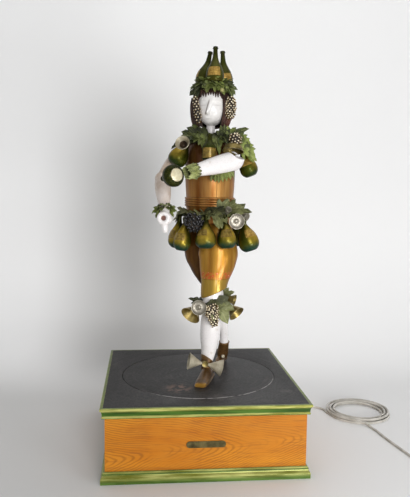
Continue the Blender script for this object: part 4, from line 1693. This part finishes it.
def make_collar():
    """Vine leaves round the neck and down the chest and shoulders, with gold grapes."""
    z = COLLAR_LEVEL
    vine = Garland()
    for azimuth in range(0, 360, 22):
        behind = 20 < azimuth < 170
        vine.round((0, 0), 0.022, z + 0.002, azimuth, 4 if behind else 14, 0.044, chance.uniform(0.1, 0.5))
    for azimuth in range(10, 180, 17):
        vine.round((0, 0), 0.046, z + 0.001, azimuth, 34, 0.04, chance.uniform(0.2, 0.7))
    vine.leaves((
        ((-20, -30, 643.5), (-74, -34, 658), (-1, -6, 8), 0.3), ((-34, -36, 641.5), (-81, -46, 644), (-2, -8, 6), 0.08),
        ((-44, -34, 636.5), (-93, -36, 629), (-4, -8, 5), 0.05),
        ((-78, -22, 630), (-106, -30, 608), (-4, -9, 3), 0.02, "slim"),
        ((-30, -40, 642.5), (-49, -62, 627), (-2, -9, 5), 0.42),
        ((-20, -44, 641.5), (-37, -70, 620), (-1, -10, 3), 0.36),
        ((-10, -46, 642.5), (-25, -72, 619), (0, -10, 3), 0.55),
        ((-26, -50, 636.5), (-27, -74, 608), (1, -10, 2), 0.5, "slim"),
        ((-30, -30, 644.5), (-33, -50, 650), (0, -9, 5), 0.6), ((6, -48, 642.5), (8, -76, 625), (0, -10, 3), 0.28),
        ((14, -50, 636.5), (17, -80, 612), (1, -10, 2), 0.46),
        ((6, -66, 624), (1, -78, 600), (-2, -10, 1), 0.35, "slim"),
        ((12, -68, 620), (16, -80, 593), (1, -10, 1), 0.55, "slim"),
        ((20, -40, 643.5), (30, -68, 638), (2, -9, 6), 0.05), ((26, -44, 641.5), (35, -78, 626), (2, -10, 3), 0.04),
        ((22, -52, 640.5), (20, -66.5, 664), (0, -9, 4), 0.18), ((30, -52, 640.5), (30, -64.5, 667), (1, -9, 4), 0.12),
        ((18, -16, 642.5), (40, -33, 654.5), (1, -9, 5), 0.12), ((26, -6, 643.5), (52, -14, 654.5), (1, -9, 5), 0.08),
        ((46, -56, 642.5), (36.3, -59, 666), (-2, -9, 4), 0.8), ((40, -50, 643.5), (56, -58, 660), (1, -9, 5), 0.5),
        ((50, -40, 646.5), (98, -30, 667), (1, -7, 7), 0.22, "slim"),
        ((44, -44, 644.5), (79, -42, 652), (2, -8, 6), 0.4), ((56, -46, 639.5), (89, -43, 644), (4, -9, 5), 0.16),
        ((64, -46, 634.5), (96, -43, 637), (4, -9, 4), 0.36), ((70, -46, 633), (102, -43, 629), (4, -9, 3), 0.8),
        ((76, -47, 626), (107, -43, 619), (4, -9, 3), 1.0), ((81, -48, 619), (111, -43, 609), (4, -9, 2), 0.72, "slim"),
        ((84, -50, 613), (114, -44, 600), (4, -9, 2), 0.95), ((87, -52, 606), (117, -46, 589), (4, -9, 2), 0.86),
        ((90, -53, 599), (119, -48, 578), (4, -9, 1), 0.95, "slim"),
        ((88, -55, 596), (108, -60, 574), (3, -10, 1), 0.75, "slim"),
        ((68, -60, 621), (90, -64, 607), (2, -10, 3), 0.95), ((76, -60, 611), (93, -66, 590), (2, -10, 2), 1.0),
        ((74, -66, 602), (82, -72, 579), (1, -10, 1), 0.8, "slim"),
        ((4, -74, 568), (-6, -82, 524), (-1, -10, 0), 0.3, "slim"),
        ((8, -74, 570), (6, -83, 522), (0, -10, 0), 0.48, "slim"),
        ((12, -74, 570), (15, -83, 520), (0, -10, 1), 0.42, "slim"),
        ((16, -74, 570), (26, -82, 523), (1, -10, 1), 0.6, "slim"),
        ((20, -72, 572), (37, -80, 526), (2, -10, 1), 0.66, "slim"),
        ((24, -70, 574), (48, -76, 530), (3, -10, 1), 0.72, "slim"),
        ((26, -68, 578), (57, -72, 536), (4, -9, 1), 0.55, "slim"),
    ), broad=0.9, slim=0.95)
    vine.finish("collar_leaves", VINE, "turntable", ["collar_garland"])
    gold = Garland()
    gold.bunch((0.05, -0.084, 0.645), (0.28, -0.12, -1), (0, -1, 0), 0.03, (0.009, 0.015, 0.01), 0.0026, 0.5, 2.6)
    gold.finish("gold_grapes_at_collar", GOLD_GRAPE, "turntable")
    rise = z + 0.002
    wires = (((0.03, -0.01, rise), (0.09, -0.02, 0.62)), ((-0.03, -0.008, rise), (-0.086, -0.014, 0.627)),
             ((0.01, -0.028, rise), (0.0135, -0.07, 0.632)), ((0.0135, -0.07, 0.632), (0.0142, -0.0745, 0.56)),
             ((0.022, -0.022, rise), (0.05, -0.083, 0.643)), ((-0.022, -0.022, rise), (-0.074, -0.07, 0.623)))
    stems = [moved(hoop(0.03, 0.002, z + 0.0022), UPRIGHT)] + [wire(start, end) for start, end in wires]
    piece("collar_ring", joined(stems), STEM, "turntable")


def make_hip_garland():
    """Belt of sage leaves over the bottle necks, with black grapes."""
    z = BELT_LEVEL
    sage = Garland()
    for azimuth in range(0, 360, 15):
        low = 18 + 10 * (azimuth // 15 % 2)
        if 190 < azimuth < 350:
            continue
        sage.round((0, 0), 0.064, z + 0.003, azimuth + chance.uniform(-3, 3), low, 0.04, chance.uniform(0.2, 0.7))
        sage.round((0, 0), 0.063, z + 0.004, azimuth + 8, -12, 0.026, chance.uniform(0.1, 0.5))
    sage.leaves((
        ((-60, -30, 441), (-89, -56, 447), (-4, -7, 7), 0.36), ((-56, -40, 441), (-80, -74, 449), (-3, -6, 8), 0.45),
        ((-50, -48, 440), (-64, -82, 448), (-2, -7, 7), 0.4), ((-40, -56, 440), (-48, -88, 446), (-1, -7, 7), 0.5),
        ((-30, -62, 441), (-38, -94, 444), (0, -8, 6), 0.62), ((-18, -64, 441), (-24, -92, 448), (0, -8, 6), 0.25),
        ((-24, -66, 437), (-12, -98, 433), (0, -10, 3), 0.55), ((-6, -66, 441), (-2, -96, 448), (0, -9, 5), 0.35),
        ((2, -68, 445), (6, -100, 430), (0, -10, 3), 0.48), ((6, -66, 453), (15, -98, 424), (1, -10, 2), 0.1),
        ((12, -66, 455), (23, -94, 432), (2, -10, 2), 0.2), ((8, -78, 436), (13, -110, 408), (0, -10, 2), 0.58, "slim"),
        ((10, -78, 434), (21, -108, 409), (1, -10, 2), 0.5, "slim"), ((20, -64, 449), (40, -78, 478), (1, -9, 5), 0.5),
        ((30, -60, 451), (56, -82, 470), (2, -9, 5), 0.44), ((40, -56, 449), (76, -78, 464), (3, -8, 6), 0.5),
        ((44, -56, 443), (74, -88, 448), (3, -9, 4), 0.66), ((24, -68, 441), (33, -100, 424), (1, -10, 3), 0.72),
        ((56, -44, 445), (88, -66, 454), (4, -7, 6), 0.52), ((64, -38, 443), (103, -56, 451), (4, -7, 6), 0.3),
        ((66, -28, 441), (96, -40, 442), (6, -5, 6), 0.38), ((64, -46, 437), (88, -78, 420), (5, -9, 2), 0.28),
    ), slim=1.4)
    sage.finish("hip_leaves", SAGE, "turntable", ["hip_garland"])
    black = Garland()
    black.bunch((-0.048, -0.08, z + 0.006), (-0.02, -0.22, -1), (0, -1, 0), 0.048, (0.01, 0.021, 0.0235, 0.018, 0.008),
                0.0042, 0.5, 1.95)
    black.finish("black_grapes", BLACK_GRAPE, "turntable")
    rings = [moved(hoop(0.0665, 0.0024, z + 0.0008, 72, 0.0018), UPRIGHT),
             moved(hoop(0.0745, 0.0018, z + 0.0006, 72, 0.0016), UPRIGHT),
             wire((0.05, -0.056, z), (0.0566, -0.1058, z - 0.011), 0.0014)]
    for azimuth in range(0, 360, 30):
        a = radians(azimuth + 12)
        rings.append(wire((0.0655 * cos(a), 0.0655 * sin(a), z + 0.001), (0.0755 * cos(a), 0.0755 * sin(a), z + 0.001)))
    piece("belt_ring", joined(rings), STEM, "turntable")


def make_knee_garland():
    """Leaves round both knees, a big pale one in front, and gold grapes."""
    z = KNEE_LEVEL
    sage = Garland()
    for azimuth in range(0, 360, 24):
        pitch = 30 if 180 < azimuth < 360 else 14
        sage.round((0.0051, -0.044), 0.0262, z, azimuth + chance.uniform(-5, 5), pitch + chance.uniform(-8, 10), 0.024,
                   chance.uniform(0.15, 0.6))
    for azimuth in range(0, 360, 36):
        sage.round((0.029, 0.053), 0.0222, z - 0.003, azimuth, 18, 0.022, chance.uniform(0.2, 0.7))
    sage.leaves((
        ((-22, -50, 207), (-58, -50, 219), (-2, -8, 6), 0.02, "slim"),
        ((-24, -48, 205), (-50, -60, 208), (-3, -8, 5), 0.06), ((-6, -70, 209), (8, -86, 202), (0, -9, 5), 0.2),
        ((2, -72, 209), (16, -88, 196), (1, -10, 4), 0.3),
        ((14, -72, 211), (43, -86, 156), (25, -100, 20), 0.66, "flat"),
        ((18, -70, 207), (48, -82, 180), (3, -10, 3), 0.5), ((16, -68, 209), (38, -80, 204), (2, -9, 5), 0.6),
        ((50, 48, 209), (77, 46, 220), (1, -8, 6), 0.55), ((44, 46, 215), (60, 44, 230), (0, -9, 5), 0.45),
        ((52, 42, 197), (76, 38, 190), (2, -7, 7), 0.4),
    ))
    sage.finish("knee_leaves", SAGE, "turntable", ["knee_garland"])
    gold = Garland()
    gold.bunch((-0.003, -0.082, z + 0.004), (0.2, -0.06, -1), (0, -1, 0), 0.06, (0.012, 0.017, 0.015, 0.0105, 0.006),
               0.0028, 0.5, 2.2)
    gold.finish("gold_grapes_at_knee", GOLD_GRAPE, "turntable")
    x, y = 0.0051, -0.044
    low = z - 0.001
    wires = (((-0.002, -0.0705, z), (-0.003, -0.082, z)), ((-0.01, -0.0695, low), (-0.0325, -0.0852, 0.2003)),
             ((x - 0.0275, y + 0.002, low), (-0.0322, -0.0411, 0.1972)),
             ((x + 0.0275, y + 0.002, low), (0.048, -0.0408, 0.2006)),
             ((x + 0.012, y + 0.0255, low), (0.0235, 0.029, z - 0.003)),
             ((0.05, 0.043, z - 0.003), (0.047, 0.0398, 0.2009)))
    stems = [moved(hoop(0.0278, 0.0014, z - 0.0005), Matrix.Translation(spot(x, y, 0))),
             moved(hoop(0.0238, 0.0013, z - 0.0025, 40), Matrix.Translation(spot(0.029, 0.053, 0)))]
    piece("knee_ring", joined(stems + [wire(start, end, 0.0013) for start, end in wires]), STEM, "turntable")


def make_cuffs():
    """Leaf cuffs at both wrists."""
    for name, centre, axis, body, count, rows, finish in (
            ("left_cuff", W_LEFT, (W_LEFT - E_LEFT).normalized(), "arm_left", 12,
             ((-0.006, 0.014, 0.034, 4, "slim"), (0.002, 0.013, 0.028, 10, "slim"), (0.008, 0.012, 0.02, 18, "slim")),
             FERN),
            ("right_cuff", W_RIGHT, (W_RIGHT - E_RIGHT).normalized(), "arm_right", 8,
             ((0.0, 0.0138, 0.024, 62, "vine"), (0.005, 0.013, 0.02, 40, "slim")), VINE)):
        cuff = Garland()
        place = aimed(Vector(centre), axis)
        turn = place.to_3x3()
        for k, (shift, radius, length, spread, kind) in enumerate(rows):
            for i in range(count):
                a = 2 * pi * (i + 0.5 * k) / count
                out = turn @ Vector((cos(a), sin(a), 0))
                base = Vector(centre) + axis * shift + out * radius
                along = axis * cos(radians(spread)) + out * sin(radians(spread))
                tip = base + along * length * chance.uniform(0.85, 1.1)
                cuff.leaf(base, tip, out, chance.uniform(0.35, 0.95), kind, 1.5 if kind == "slim" else 0.9)
        cuff.finish(name, finish, body)
        band = moved(hoop(0.0134, 0.0012, 0.0, 40), aimed(spot(*(Vector(centre) + axis * 0.003)), axis))
        piece(name + "_tie", band, STEM, body)


set_camera()
make_flex()
set_room()
paint_works()
make_mouldings()
make_deck()
make_name_plate()
make_barrel()
make_breeches()
make_legs()
make_shoes()
make_shoe_bow()
make_hip_bottles()
make_other_bottles()
make_cups_and_funnels()
make_upper_arms()
make_left_forearm()
make_right_forearm()
make_neck()
make_head()
make_hair()
make_head_garland()
make_collar()
make_hip_garland()
make_knee_garland()
make_cuffs()
for pattern in PATTERNS.values():
    bpy.data.meshes.remove(pattern)
